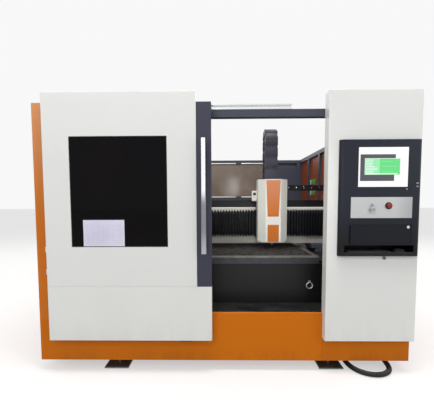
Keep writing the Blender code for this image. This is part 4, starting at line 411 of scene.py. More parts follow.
def steel(name, colour, roughness=0.32, stretch=(300.0, 300.0, 6.0), contrast=0.22, bump=0.08, dust=0.15,
          stain=None, stainScale=7.0, stainAmount=0.0, metallic=1.0, regions=(), shades=()):
    material, tree, shader = newMaterial(name)
    grain = effect(tree, "brushedGrain", Stretch=stretch)
    tone = scaled(tree, calc(tree, "SUBTRACT", grain["Tone"], 0.5), contrast, 1.0)
    base = put(tree, "HueSaturation", {"Value": tone, "Color": patched(tree, colour, regions, shades)}).outputs[0]
    rough = scaled(tree, grain["Tone"], 0.18, roughness - 0.09)
    if stainAmount:
        cloud = product(tree, ramp(tree, noiseValue(tree, stainScale, 6.0, 0.68), 0.42, 0.68), stainAmount)
        base, rough = layered(tree, base, rough, cloud, stain, 0.35)
    if dust:
        base, rough = layered(tree, base, rough, effect(tree, "dustFilm", Amount=dust)["Mask"], dustColour, 0.4)
    finish(tree, shader, grain["Height"], bump, 0.0004,
           {"Base Color": base, "Roughness": rough, "Metallic": metallic})
    return material


def glossy(name, colour, tint, roughness, level, smudge):
    # glass with faint wiping marks in the gloss
    material, tree, shader = newMaterial(name)
    marks = effect(tree, "smudges", Scale=6.0, Amount=smudge)["Mask"]
    base = blendColour(tree, ramp(tree, noiseValue(tree, 1.3, 3.0), 0.35, 0.7), colour, tint)
    feed(tree, shader, {"Base Color": base, "Roughness": scaled(tree, marks, 0.5, roughness),
                        "Specular IOR Level": level})
    return material


def glowing(name, colour):
    # a lit display surface behind hard glass, slightly uneven like a back light
    material, tree, shader = newMaterial(name)
    even = scaled(tree, noiseValue(tree, 5.0, 2.0), 0.10, 0.95)
    lit = put(tree, "HueSaturation", {"Value": even, "Color": colour}).outputs[0]
    marks = effect(tree, "smudges", Scale=20.0, Amount=0.3)["Mask"]
    feed(tree, shader, {"Emission Color": lit, "Emission Strength": 1.0, "Base Color": unlit,
                        "Roughness": scaled(tree, marks, 0.4, 0.18)})
    return material


def beyond(axis, limit):
    # 1 where the coordinate passes the limit
    return lambda tree, axes: calc(tree, "GREATER_THAN", axes[axis], limit)


def below(axis, limit):
    return lambda tree, axes: calc(tree, "LESS_THAN", axes[axis], limit)


def away(axis, centre, limit):
    return lambda tree, axes: calc(tree, "GREATER_THAN",
                                   calc(tree, "ABSOLUTE", calc(tree, "SUBTRACT", axes[axis], centre)), limit)


def allOf(*finders):
    return lambda tree, axes: product(tree, *(finder(tree, axes) for finder in finders))


def within(axis, low, high):
    return allOf(beyond(axis, low), below(axis, high))


def sideways(sign):
    # 1 where the surface looks to that side; the door only slides, so the frame's axes hold
    return lambda tree, axes: calc(tree, "GREATER_THAN", product(
        tree, axesOf(tree, put(tree, "TexCoord").outputs["Normal"])[0], float(sign)), 0.5)


print("shader groups are ready")


# Hose on the floor, the first thing made after the camera

hoseFacts = dict(diameter=0.042, ribPitch=0.011, ribDepth=0.0020, sides=20, exit=(1.045, 0.42, 0.048), points=(
    (1.045, 0.42, 0.048), (1.045, 0.36, 0.047), (1.045, 0.29, 0.041), (1.046, 0.22, 0.031),
    (1.052, 0.15, 0.024), (1.070, 0.088, 0.0214), (1.104, 0.033, 0.0214), (1.152, -0.004, 0.0214),
    (1.210, -0.020, 0.0214), (1.268, -0.013, 0.0214), (1.320, 0.017, 0.0214), (1.358, 0.064, 0.0214),
    (1.379, 0.122, 0.0214), (1.386, 0.185, 0.025), (1.387, 0.25, 0.034), (1.387, 0.32, 0.043),
    (1.387, 0.38, 0.0475), (1.387, 0.42, 0.048)))

blackRubber = painted("blackRubber", (17, 17, 19), roughness=0.46, grain=900.0, bump=0.25, dust=0.12,
                      grime=0.12, grimeTop=0.05, unevenness=0.2)


def addHose(diameter, ribPitch, ribDepth, sides, exit, points):
    places, length = evenRoute(smoothRoute([at(*point) for point in points], 6), ribPitch / 4)
    radii = [diameter / 2 - ribDepth * (0.5 + 0.5 * cos(pi * index / 2)) for index in range(len(places))]
    shape = bmesh.new()
    tube(shape, places, radii, sides)
    hose = makePiece("corrugated_hose", shape, [blackRubber], "cabin", ("hose",), 80)
    return length


print("hose lies on the floor,", round(addHose(**hoseFacts), 3), "m long")


# Finishes of the model's own solids

white, cheekWhite, orange, shadedOrangeInside = (231, 232, 229), (240, 243, 233), (205, 111, 12), (142, 66, 24)
darkBlue, stileBlue, charcoal, wornBlue = (66, 69, 81), (56, 58, 72), (31, 35, 46), (120, 124, 134)


def dress(material, *names):
    for name in names:
        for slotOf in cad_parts[name].material_slots:
            slotOf.material = material


def paintNode(name, colour, **values):
    dress(painted(name + "Paint", colour, box=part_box(name), **values), name)


def toplitOrange(tree, axes):
    # the walls' orange is painted lighter towards their top: painted light from above
    return blendColour(tree, ramp(tree, axes[2], 1.15, 2.25), orange, (216, 146, 92))


# cabin and base
# the inside of the base is painted near black: soot and painted shade
insideBase = allOf(within(0, -1.4655, 1.4655), within(1, -1.789, 1.8505), beyond(2, 0.105))
paintNode("base_frame", orange, roughness=0.38, level=0.12, wear=0.25, wearWidth=0.010, grime=0.22,
          grimeTop=0.26, dust=0.12, worn=(120, 84, 52), regions=[(insideBase, (40, 38, 37))])
# the walls' inner faces are painted a darker orange: painted shade; their outer faces get the orange painted lighter
# towards the top
for wall in ("left_wall", "right_wall"):
    paintNode(wall, darkBlue, roughness=0.40, wear=0.2, dust=0.18, worn=(120, 84, 52),
              regions=[(away(0, 0.0, 1.5045), shadedOrangeInside), (away(0, 0.0, 1.5085), toplitOrange),
                       (below(1, -1.76), toplitOrange), (beyond(1, 1.8985), toplitOrange)])
paintNode("rear_wall", darkBlue, dust=0.18, regions=[(beyond(1, 1.8935), toplitOrange)])
paintNode("front_panel", white, dust=0.2)
paintNode("header_beam", darkBlue, roughness=0.36, wear=0.3, wearWidth=0.004, worn=wornBlue)
paintNode("column", white, roughness=0.36, grime=0.12, grimeTop=0.6)
paintNode("door_panel", white, roughness=0.36)
paintNode("door_lower_panel", white, roughness=0.36, grime=0.15, grimeTop=0.55)
paintNode("door_stile", stileBlue, roughness=0.40, wear=0.2, wearWidth=0.004, worn=wornBlue)
paintNode("gantry_beam", (228, 225, 214), dust=0.15)
for side, mark in bothSides:
    paintNode(f"gantry_saddle_{mark}", darkBlue, roughness=0.5, wear=0.3, dust=0.15)
    paintNode(f"y_motor_{mark}", black, roughness=0.4, wear=0.25, wearWidth=0.003)
paintNode("carriage_plate", (96, 100, 108), roughness=0.45, wear=0.25)
paintNode("head_cover", white, roughness=0.40, wear=0.12, wearWidth=0.003, worn=(150, 150, 146),
          regions=[(away(0, 0.498, 0.0765), cheekWhite)])
paintNode("scrap_drawer", (44, 42, 41), roughness=0.5, wear=0.4, wearWidth=0.008, grime=0.2, grimeTop=0.30,
          dust=0.12, worn=(96, 84, 72), regions=[(beyond(1, 1.8965), orange), (beyond(1, 1.901), charcoal)])
eyeRing = allOf(beyond(0, 0.70), within(2, 0.60, 0.69), below(1, -1.5405))
paintNode("bed_frame", (14, 14, 17), roughness=0.36, wear=0.3, dust=0.05, unevenness=0.1, worn=(70, 70, 76),
          regions=[(eyeRing, (196, 196, 194))], metallic=eyeRing)
paintNode("chain_tray", (17, 17, 20), roughness=0.4, wear=0.2, wearWidth=0.003, dust=0.1)
paintNode("sensor_box", (240, 239, 230), roughness=0.4)

# steel and glass
slatFrame = below(1, -1.488)
dress(steel("slatSteel", (86, 83, 80), roughness=0.46, stretch=(30.0, 30.0, 120.0), contrast=0.5,
            stain=(52, 44, 38), stainScale=16.0, stainAmount=0.55, dust=0.1, bump=0.2, metallic=0.25,
            regions=[(slatFrame, (58, 60, 68)), (allOf(slatFrame, beyond(2, 0.893)), (120, 118, 114))]),
      "slat_grid")
dress(steel("railSteel", (196, 198, 200), roughness=0.24, stretch=(300.0, 4.0, 300.0), dust=0.05),
      "y_rail_left", "y_rail_right")
rackSteel = steel("rackSteel", (120, 120, 122), roughness=0.4, stretch=(300.0, 4.0, 300.0))
dress(rackSteel, "rack_left", "rack_right", "pinion_left", "pinion_right")
dress(steel("doorRailSteel", (240, 241, 242), roughness=0.22, stretch=(3.0, 260.0, 260.0), contrast=0.06,
            bump=0.03, dust=0.0), "door_rail")
dress(steel("hangerSteel", (188, 190, 194), roughness=0.34, stretch=(200.0, 200.0, 8.0)),
      "door_hanger_left", "door_hanger_right", "key_switch")
dress(steel("lockSteel", (92, 93, 96), roughness=0.34, stretch=(200.0, 200.0, 8.0), metallic=0.8), "cam_lock")
# the handle's face is painted bright at its top and greyer lower down: painted reflection; its sides are a dark
# extrusion, and the right one is painted darker than the left: painted shade
dress(steel("handleSteel", (244, 245, 246), roughness=0.26, stretch=(420.0, 420.0, 3.0), contrast=0.16,
            dust=0.0, shades=[(2, 1.50, 1.37, (142, 144, 150)), (2, 1.20, 1.02, (176, 177, 182))],
            regions=[(sideways(1), (30, 31, 35)), (sideways(-1), (120, 122, 126))]), "door_handle")
# the switch plate is painted darker towards its right: painted shade
dress(steel("plateAluminium", (186, 188, 188), roughness=0.40, stretch=(6.0, 260.0, 420.0), contrast=0.14,
            metallic=0.8, dust=0.0, shades=[(0, 1.28, 1.46, (160, 161, 163))]), "switch_plate")
dress(steel("headSteel", (170, 172, 176), roughness=0.28, stretch=(260.0, 260.0, 30.0)), "cutting_head")
dress(steel("nozzleCopper", (214, 138, 92), roughness=0.28, stretch=(200.0, 200.0, 60.0), stain=(84, 50, 38),
            stainScale=60.0, stainAmount=0.5), "nozzle")
dress(steel("footSteel", (120, 124, 122), roughness=0.42, stretch=(20.0, 20.0, 700.0), contrast=0.5, bump=0.35,
            dust=0.2, stain=(72, 70, 66), stainAmount=0.3, stainScale=30.0),
      *(f"foot_{row}_{mark}" for row in ("front", "middle", "rear") for side, mark in bothSides))
dress(glossy("darkGlass", (6, 5, 8), (12, 7, 9), roughness=0.03, level=0.09, smudge=0.12), "door_window")
dress(glossy("bronzePane", (130, 116, 104), (108, 92, 78), roughness=0.16, level=0.5, smudge=0.4), "rear_window")

# console
# the housing is painted darker towards its bottom, round the keyboard bay: painted shade
paintNode("console_housing", charcoal, roughness=0.34, level=0.22, grain=700.0, bump=0.10, wear=0.25,
          wearWidth=0.003, worn=(84, 88, 98), dust=0.1, shades=[(2, 1.42, 1.02, (15, 15, 18))])
paintNode("monitor", (20, 20, 23), roughness=0.3)
flapKnob = allOf(beyond(0, 1.398), beyond(2, 1.186), below(1, -1.9292))
paintNode("console_flap", (16, 19, 27), roughness=0.34, level=0.2, wear=0.25, wearWidth=0.002,
          worn=(76, 80, 90), regions=[(flapKnob, (200, 202, 204))], metallic=flapKnob)
paintNode("keyboard_tray", (15, 15, 18), roughness=0.5, grain=900.0, dust=0.08)
dress(painted("stopRed", (146, 22, 32), roughness=0.3, grain=300.0, bump=0.04, dust=0.1, unevenness=0.1,
              coat=0.3), "emergency_stop")
dress(painted("guidePlastic", (30, 30, 32), roughness=0.5), "door_guide")
dress(painted("glandPlastic", (34, 34, 37), roughness=0.5, dust=0.4), "hose_gland_left", "hose_gland_right")
print("the model's solids have their finishes")


# Materials that only added pieces use
moulded = dict(grain=800.0, bump=0.15, dust=0.12, unevenness=0.2)
screwGrain = (120.0, 120.0, 120.0)
chainPlastic = painted("chainPlastic", (58, 58, 70), roughness=0.44, **moulded)
blackChain = painted("blackChain", (20, 20, 24), roughness=0.46, **moulded)
blackPlastic = painted("blackPlastic", (27, 27, 30), grain=900.0, bump=0.2, dust=0.2)
capPlastic = painted("capPlastic", (36, 37, 41), roughness=0.5, grain=1200.0, bump=0.25, dust=0.15, smudge=0.6)
gasketRubber = painted("gasketRubber", (20, 20, 22), roughness=0.6, grain=900.0, bump=0.2)
leadOrange = painted("leadOrange", (208, 96, 30), roughness=0.5, grain=1200.0, dust=0.15)
stripWhite = painted("stripWhite", (246, 246, 240), roughness=0.34)
# the upper orange plate is painted paler towards its top: painted light
stripOrange = painted("stripOrange", (214, 118, 32), roughness=0.34, shades=[(2, 1.22, 1.60, (218, 138, 92))])
tabWhite = painted("tabWhite", (232, 232, 230), roughness=0.4)
wallOrange = painted("wallOrange", orange, roughness=0.40, dust=0.15)
plateGreen = painted("plateGreen", (70, 170, 92), roughness=0.35)
switchYellow = painted("switchYellow", (226, 186, 34), roughness=0.35)
switchRed = painted("switchRed", (170, 26, 28), roughness=0.35)
pinSteel = steel("pinSteel", (206, 206, 204), roughness=0.25, stretch=(90.0, 90.0, 90.0), dust=0.0)
screwSteel = steel("screwSteel", (172, 173, 175), roughness=0.3, stretch=screwGrain, dust=0.0)
darkSteel = steel("darkSteel", (60, 60, 64), roughness=0.38, stretch=screwGrain, dust=0.1)
brass = steel("brass", (196, 160, 92), roughness=0.3, stretch=screwGrain, dust=0.1)
trimAluminium = steel("trimAluminium", (240, 240, 238), roughness=0.3, stretch=(3.0, 200.0, 200.0),
                      contrast=0.1, dust=0.0, metallic=0.4)


def clothMaterial(threads):
    material, tree, shader = newMaterial("bellowsCloth")
    axes = axesOf(tree, placeIn(tree))
    weave = product(tree, *(calc(tree, "SINE", product(tree, axes[axis], threads)) for axis in (0, 2)))
    folds = ramp(tree, noiseValue(tree, 30.0, 5.0, 0.7), 0.4, 0.8)
    base = blendColour(tree, product(tree, folds, 0.35), (11, 12, 17), (20, 21, 27))
    base = blendColour(tree, effect(tree, "dustFilm", Amount=0.2, Scale=20.0)["Mask"], base, dustColour)
    finish(tree, shader, weave, 0.15, 0.0003, {"Base Color": base, "Roughness": scaled(tree, folds, 0.2, 0.45)})
    return material


def paperMaterial(margins, cell):
    # a sheet ruled into cells
    material, tree, shader = newMaterial("paperSheet")
    axes = axesOf(tree, placeIn(tree))
    flat = put(tree, "CombineXYZ", {0: axes[0], 1: axes[2]}).outputs[0]
    bricks = put(tree, "TexBrick", {"Vector": flat, "Scale": 1.0, "Mortar Size": 0.0007, "Mortar Smooth": 0.2,
                                    "Brick Width": cell[0], "Row Height": cell[1]}, offset=0.0)
    inside = product(tree, *(ramp(tree, axes[axis], start, end) for axis, start, end in margins))
    grey = ramp(tree, noiseValue(tree, 160.0, 2.0, 0.7), 0.5, 0.62)
    sheet = blendColour(tree, ramp(tree, noiseValue(tree, 6.0, 3.0), 0.3, 0.7), (224, 222, 240), (214, 212, 233))
    sheet = blendColour(tree, product(tree, grey, inside, 0.10), sheet, (120, 120, 140))
    sheet = blendColour(tree, product(tree, bricks.outputs["Fac"], inside, 0.35), sheet, (120, 120, 146))
    finish(tree, shader, noiseValue(tree, 900.0, 3.0), 0.1, 0.0002,
           {"Base Color": sheet, "Roughness": scaled(tree, noiseValue(tree, 90.0, 3.0), 0.1, 0.7)})
    return material


bellowsCloth = clothMaterial(2400.0)
paperSheet = paperMaterial(((2, 1.060, 1.064), (2, 1.222, 1.218), (0, -1.088, -1.084), (0, -0.788, -0.792)),
                           (0.041, 0.0135))


# Bellows: pleated cloth in sections

bellowsFacts = dict(pitch=0.0296, fold=0.024, front=0.89, low=1.043, high=1.298, back=0.9597, skin=0.0016,
                    corner=0.014, crest=0.12, shares=(0.0, 0.02, 0.05, 0.12, 0.28, 0.72, 0.88, 0.95, 0.98, 1.0),
                    rim=0.006, liner=0.055)


def bellowsEdges(facts, share):
    # share 1 at a crest, -1 at a valley
    fold = facts["fold"] / 2 * share
    return facts["front"] - fold, facts["low"] - fold, facts["high"] + fold, facts["back"]


def bellowsSection(facts, share):
    # outer outline and then the inner one, as (y, z)
    corner, skin = facts["corner"], facts["skin"]
    front, low, high, back = bellowsEdges(facts, share)
    bent = corner + skin * 0.4
    return [(back, low), (front + corner, low), (front, low + corner), (front, high - corner),
            (front + corner, high), (back, high), (back, high - skin), (front + bent, high - skin),
            (front + skin, high - bent), (front + skin, low + bent), (front + bent, low + skin),
            (back, low + skin)]


def bellowsStrip(facts, start, pitch, first, last):
    shape = bmesh.new()
    half = facts["crest"] / 2
    offsets = ((half, -1), (0.5 - half, 1), (0.5 + half, 1), (1 - half, -1))
    rings = [(first, -1)] + [(fold + offset, share) for fold in range(first, last) for offset, share in offsets]
    made = [[shape.verts.new(at(start + pitch * place, y, z)) for y, z in bellowsSection(facts, share)]
            for place, share in rings + [(last, -1)]]
    for ring, following in zip(made, made[1:]):
        bridge(shape, ring, following)
    shape.faces.new(made[0])
    shape.faces.new(reversed(made[-1]))
    return shape


def bellowsFrame(facts, x, along, body, name):
    # stiff end frame with the liner that the pleats slide over
    shape = bmesh.new()
    front, low, high, back = bellowsEdges(facts, 1)
    for reach, inset, thick, under, soft in ((facts["rim"], 0.0, 0.02, 0.018, 0.001),
                                             (facts["liner"], 0.028, 0.0015, 0.0015, 0.0)):
        near, far = sorted((x, x + along * reach))
        rise = inset and inset + 0.002
        inner, floor, roof = front + inset + thick, low + rise, high - rise
        for (y0, z0), (y1, z1) in (((front + inset, floor), (inner, roof)), ((inner, floor), (back, floor + under)),
                                   ((inner, roof - under), (back, roof))):
            softBox(shape, at(near, y0, z0), at(far, y1, z1), soft, 1)
    makePiece(name, shape, [blackPlastic], body)


def addBellows(name, fixedX, movingX, facts):
    start, end = sorted((fixedX, movingX))
    count = max(1, round((end - start) / facts["pitch"]))
    pitch = (end - start) / count
    cuts = sorted({round(count * share) for share in facts["shares"]})
    for number, (first, last) in enumerate(zip(cuts, cuts[1:])):
        piece = makePiece(f"{name}_{number}", bellowsStrip(facts, start, pitch, first, last), [bellowsCloth],
                          None, () if number else (name,), 20)
        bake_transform(piece)
    sign = 1 if movingX > fixedX else -1
    bellowsFrame(facts, fixedX, sign, "gantry", f"{name}_end_frame")
    bellowsFrame(facts, movingX, -sign, "carriage", f"{name}_carriage_frame")


addBellows("bellows_left", -1.0847, 0.3507, bellowsFacts)
addBellows("bellows_right", 1.0847, 0.6453, bellowsFacts)
print("bellows are folded")


# Cable chains: links with side plates, lids and pins

def chainLink(shape, a, b, across, facts, odd):
    # odd links are slimmer and sit between the side plates of the even ones
    slimmer, ends, skin, lidThick, lidSoft = 0.002, (0.98, 0.9), 0.001, 0.006, 0.002
    hookInset, hookHalf, hookRise, hookShare, hookSoft = 0.016, 0.005, 0.0008, 0.4, 0.0006
    along = (b - a).normalized()
    place = Matrix.Translation((a + b) / 2) @ Matrix((along, across, across.cross(along))).transposed().to_4x4()
    half = (b - a).length / 2
    edge = (facts["width"] - facts["plate"] * odd) / 2
    tall = facts["thick"] / 2 - slimmer * odd
    reach = tall * ends[odd] * facts["roundness"]
    outline = [(centre + reach * cos(first + pi * step / 6), tall * sin(first + pi * step / 6))
               for centre, first in ((half, -pi / 2), (-half, pi / 2)) for step in range(7)]
    for side in (-1, 1):
        extruded(shape, [(x, edge * side, z) for x, z in outline], (0, -side * facts["plate"], 0), 0.0012, 0, place)
    lid, inner = half * facts["lid"], edge - facts["plate"] / 2
    for low in (skin - tall, tall - skin - lidThick):
        high = low + lidThick
        softBox(shape, (-lid, -inner, low), (lid, inner, high), lidSoft, 2, 0, place)
        for side in (-1, 1):  # snap hooks across the lid
            hook, long = side * (edge - hookInset), lid * hookShare
            softBox(shape, (-long, hook - hookHalf, low - hookRise), (long, hook + hookHalf, high + hookRise),
                    hookSoft, 1, 0, place)


def chainPins(shape, place, across, facts):
    pin = facts["pin"]
    for side in (-1, 1):
        turned(shape, place + across * side * (facts["width"] / 2 - 0.004), across * side,
               [(pin, 0.0), (pin, 0.0045), (pin * 0.8, 0.0062), (0, 0.0066)], 14, 1)


def layChain(points, across, facts, shapeAt):
    for index, (a, b) in enumerate(zip(points, points[1:])):
        chainLink(shapeAt((a + b) / 2), a, b, across, facts, index % 2)
    for place in points:
        chainPins(shapeAt(place), place, across, facts)


def chainRoute(before, centre, startAngle, endAngle, radius, after, sideAxis, pitch, steps=32):
    # an odd number of links, so that both ends are wide ones
    angles = (startAngle + (endAngle - startAngle) * step / steps for step in range(1, steps))
    bend = [centre + (Vector(sideAxis) * cos(angle) + Vector(upward) * sin(angle)) * radius for angle in angles]
    line = before + bend + after
    total = sum((b - a).length for a, b in zip(line, line[1:]))
    return evenRoute(line, total / (2 * round(total / pitch / 2) + 1))[0]


xChainFacts = dict(width=0.10, thick=0.060, plate=0.009, pin=0.0085, lid=0.62, roundness=1.0, pitch=0.0915,
                   high=1.545, low=1.3686, bendX=1.13, anchor=-0.10, start=0.7143, y=1.08, blendEnd=1.57,
                   blendStart=0.688)
standingFacts = dict(width=0.130, thick=0.050, plate=0.007, pin=0.006, lid=1.55, roundness=0.9, pitch=0.062,
                     front=0.868, loop=0.185, top=2.150, seat=1.6389, rearSeat=1.6099, x=0.498)


def addXChain(facts):
    high, low, bendX, anchor, y = (facts[key] for key in ("high", "low", "bendX", "anchor", "y"))
    radius = (high - low) / 2
    points = chainRoute([at(facts["start"], y, high), at(bendX, y, high)], at(bendX, y, low + radius), pi / 2,
                        -pi / 2, radius, [at(bendX, y, low), at(anchor, y, low)], rightward, facts["pitch"])
    # the far points of each run: the bend goes half as far as the carriage
    limits = {"upper": (facts["blendEnd"], facts["blendStart"]), "bend": (bendX - 100, bendX + 100),
              "lower": (anchor, 2 * bendX - anchor)}
    runs = {name: bmesh.new() for name in limits}

    def runOf(place):
        if place.x > bendX - 0.01:
            return runs["bend"]
        return runs["upper" if place.z > low + radius else "lower"]

    layChain(points, Vector(rearward), facts, runOf)
    for name, shape in runs.items():
        piece = makePiece(f"x_chain_{name}", shape, [blackChain, pinSteel], None,
                          ("x_cable_chain",) if name == "lower" else ())
        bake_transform(piece)


def addStandingChain(facts):
    radius = facts["loop"] / 2
    bendZ = facts["top"] - radius - facts["thick"] / 2
    x, front, rear = facts["x"], facts["front"], facts["front"] + facts["loop"]
    points = chainRoute([at(x, front, facts["seat"]), at(x, front, bendZ)], at(x, front + radius, bendZ), pi, 0,
                        radius, [at(x, rear, bendZ), at(x, rear, facts["rearSeat"])], rearward, facts["pitch"])
    shape = bmesh.new()
    layChain(points, Vector(rightward), facts, lambda place: shape)
    makePiece("standing_chain", shape, [chainPlastic, darkSteel], "carriage", ("head_cable_chain",))


addXChain(xChainFacts)
addStandingChain(standingFacts)
print("cable chains are linked")


# Head cover: white nose strip with two orange plates, small screws, sensor face

coverFacts = dict(centre=0.498, front=0.6967, back=0.6998, low=0.991, high=1.613, half=0.0735, plate=0.0013,
                  plates=(((-0.071, 1.607), (0.071, 1.607), (0.055, 1.247), (-0.055, 1.247)),
                          ((-0.056, 1.166), (0.056, 1.166), (0.056, 0.995), (-0.056, 0.995))),
                  screws=(0.030, 0.128, 0.140), screwZ=0.997, bend=(0.077, 0.06 / 0.07), slant=(0.62, -0.78, 0))


def addCoverStrip(centre, front, back, low, high, half, plate, plates, screws, screwZ, bend, slant):
    shape = bmesh.new()
    softBox(shape, at(centre - half, back - plate, low), at(centre + half, back, high), 0.0005, 1)
    for corners in plates:
        extruded(shape, [at(centre + dx, front, z) for dx, z in corners], (0, back - plate - front, 0), 0.0005, 1)
    makePiece("cover_plates", shape, [stripWhite, stripOrange], "carriage", ("cover_strip",))
    shape = bmesh.new()
    for side in (-1, 1):  # screws along the lower edge, the outer ones on the slanted cheeks
        for dx in screws:
            outer = dx > bend[0]
            y = back + ((dx - bend[0]) * bend[1] if outer else 0.0)
            turned(shape, at(centre + side * dx, y, screwZ), (side * slant[0], slant[1], 0) if outer else forward,
                   [(0.0042, -0.001), (0.0042, 0.0012), (0.003, 0.0024), (0, 0.0026)], 12)
    makePiece("cover_screws", shape, [darkSteel], "carriage")


addCoverStrip(**coverFacts)


sensorFacts = dict(x=(0.3050, 0.3465), low=1.4085, high=1.5005, face=0.84, sides=(0.006, 0.008), lens=0.024,
                   window=(0.052, 0.012),
                   lensProfile=((0.010, 0.0), (0.010, 0.0014), (0.0085, 0.0019), (0.0, 0.0012)))


def addSensorFace(x, low, high, face, sides, lens, window, lensProfile):
    shape = bmesh.new()
    softBox(shape, at(x[0] + sides[0], face - 0.0008, low + window[0]),
            at(x[1] - sides[1], face + 0.004, high - window[1]), 0.001, 1)
    turned(shape, at(sum(x) / 2, face + 0.001, low + lens), forward, lensProfile, 20, 1)
    makePiece("sensor_face", shape, [blackPlastic, darkSteel], "carriage")


addSensorFace(**sensorFacts)
print("head cover is dressed")


# Console: display, sockets, keys on their ring, keyboard, mouse

displayFacts = dict(x=(1.0285, 1.4015), z=(1.506, 1.804), face=-0.0275, back=-0.0262,
                    bars=((0.033, 0.179, 0.744, 0.279), (0.033, 0.279, 0.124, 0.695),
                          (0.033, 0.695, 0.723, 0.853)),
                    block=(0.132, 0.289, 0.835, 0.695), split=0.42, rows=9)


def addDisplay(x, z, face, back, bars, block, split, rows):
    wide, tall = x[1] - x[0], z[1] - z[0]
    shape = bmesh.new()

    def plate(u0, v0, u1, v1, rise, paint):
        softBox(shape, at(x[0] + wide * u0, face - rise, z[1] - tall * v1),
                at(x[0] + wide * u1, back, z[1] - tall * v0), 0.0, 1, paint)

    plate(0, 0, 1, 1, 0.0, 0)
    for bar in bars:
        plate(*bar, 0.0002, 1)
    u0, v0, u1, v1 = block
    cut = u0 + (u1 - u0) * split
    plate(u0, v0, cut, v1, 0.0003, 2)
    plate(cut, v0, u1, v1, 0.0003, 3)
    draw = random.Random(4)
    for row in range(rows):  # rows of plain rules
        top = v0 + (v1 - v0) * (0.07 + row * 0.1)
        plate(u0 + 0.012, top, u0 + (cut - u0) * draw.uniform(0.45, 0.95), top + 0.014, 0.0004, 0)
        if row % 3 == 1:
            start = cut + 0.03
            plate(start, top, start + (u1 - cut) * draw.uniform(0.4, 0.8), top + 0.010, 0.0004, 2)
    plate(u0 + 0.02, v1 - 0.035, u1 - 0.05, v1 - 0.012, 0.0004, 0)
    makePiece("display", shape, [glowing("displayWhite", (252, 252, 252)), glowing("displayGrey", (72, 77, 82)),
                                 glowing("displayPaleGreen", (150, 236, 176)),
                                 glowing("displayGreen", (98, 222, 128))], "cabin")


addDisplay(**displayFacts)


socketFacts = dict(buttons=((1.474, 1.532), (1.474, 1.508)), lamp=(1.396, 1.488), face=-0.03, plate=-0.0332,
                   screwX=(0.983, 1.432), screwZ=(1.276, 1.420), keyHole=(1.139, 1.368), stop=(1.262, 1.362),
                   buttonHalf=(0.009, 0.0045), slotHalf=(0.0065, 0.0022))


def addSockets(buttons, lamp, face, plate, screwX, screwZ, keyHole, stop, buttonHalf, slotHalf):
    shape = bmesh.new()
    for x, z in buttons:
        for (wide, tall), front, back, soft, steps, paint in ((buttonHalf, 0.0016, 0.002, 0.0012, 2, 0),
                                                              (slotHalf, 0.0020, 0.0, 0.0002, 1, 1)):
            softBox(shape, at(x - wide, face - front, z - tall), at(x + wide, face + back, z + tall), soft, steps,
                    paint)
    turned(shape, at(lamp[0], face + 0.001, lamp[1]), forward,
           [(0.0045, 0.0), (0.0045, 0.0018), (0.0034, 0.0026), (0.0, 0.0028)], 16)
    makePiece("console_sockets", shape, [screwSteel, blackPlastic], "cabin")
    shape = bmesh.new()
    for x in screwX:
        for z in screwZ:
            turned(shape, at(x, plate, z), forward,
                   [(0.0034, 0.0), (0.0034, 0.0006), (0.0024, 0.0014), (0.0, 0.0015)], 14)
    turned(shape, at(keyHole[0], plate, keyHole[1]), forward,
           [(0.0165, 0.0), (0.0165, 0.0012), (0.0150, 0.0020), (0.0118, 0.0020), (0.0118, 0.0002)], 28)
    turned(shape, at(stop[0], plate, stop[1]), forward,
           [(0.0275, 0.0), (0.0275, 0.0010), (0.0262, 0.0016), (0.0100, 0.0016), (0.0100, 0.0002)], 32, 1)
    makePiece("switch_collars", shape, [screwSteel, blackPlastic], "cabin")


addSockets(**socketFacts)


ringFacts = dict(x=1.139, z=1.368, radius=0.013, wire=0.0009, bow=0.011, blade=0.026, stud=0.0015,
                 studHead=0.0030, reach=0.0036, sink=0.002, keys=((0.16, -0.006), (-0.12, 0.005)), thin=0.001,
                 bladeHalf=0.003, teeth=4, toothPitch=0.006, toothTop=0.005, toothTall=0.003, tooth=(0.002, 0.0042))


def addKeys(x, z, radius, wire, bow, blade, stud, studHead, reach, sink, keys, thin, bladeHalf, teeth, toothPitch,
            toothTop, toothTall, tooth):
    # the ring hangs on a round stud on the key's own axis, so that it stays upright while the key turns
    axis = Vector((x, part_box("key_switch")[0][1], z))
    shape = bmesh.new()
    turned(shape, axis, forward, [(stud, -sink), (stud, reach), (studHead, reach + 0.0002),
                                  (studHead, reach + 0.0010), (0.0, reach + 0.0012)], 16)
    makePiece("key_stud", shape, [screwSteel], "key")
    shape = bmesh.new()
    centre = axis + Vector((0.0, -reach / 2, wire + stud - radius))
    ring = [centre + Vector((spot.y, 0.0, spot.x)) for spot in circle(radius, 28)]
    tube(shape, ring, [wire] * len(ring), 8, 0, True)
    for lean, shift in keys:
        place = Matrix.Translation(centre + Vector((shift, 0, 0.002 - radius))) @ Matrix.Rotation(lean, 4, "Y")
        extruded(shape, [(spot.x * 0.95, -thin, spot.y - bow) for spot in circle(bow, 18)], (0, 2 * thin, 0),
                 0.0004, 0, place)
        tip = -2 * bow
        softBox(shape, (-bladeHalf, -thin, tip - blade), (bladeHalf, thin, -1.7 * bow), 0.0005, 1, 0, place)
        for step in range(teeth):
            top = tip - toothPitch * step - toothTop
            softBox(shape, (tooth[0], -0.9 * thin, top - toothTall), (tooth[1], 0.9 * thin, top), 0.0002, 1, 0, place)
    makePiece("spare_keys", shape, [screwSteel], "cabin")


addKeys(**ringFacts)


# wide keys are given as (row, column): columns that they take, the first of them the space bar
keyboardFacts = dict(columns=16, rows=5, gap=0.0028, rim=0.006, capRise=0.0055, capSteps=(
    (0.0, -0.0059), (0.0016, -0.0008), (0.0028, 0.0)), wideKeys={
    (0, 4): 6, (1, 0): 2, (2, 0): 2, (1, 12): 2, (2, 12): 2, (3, 12): 2})


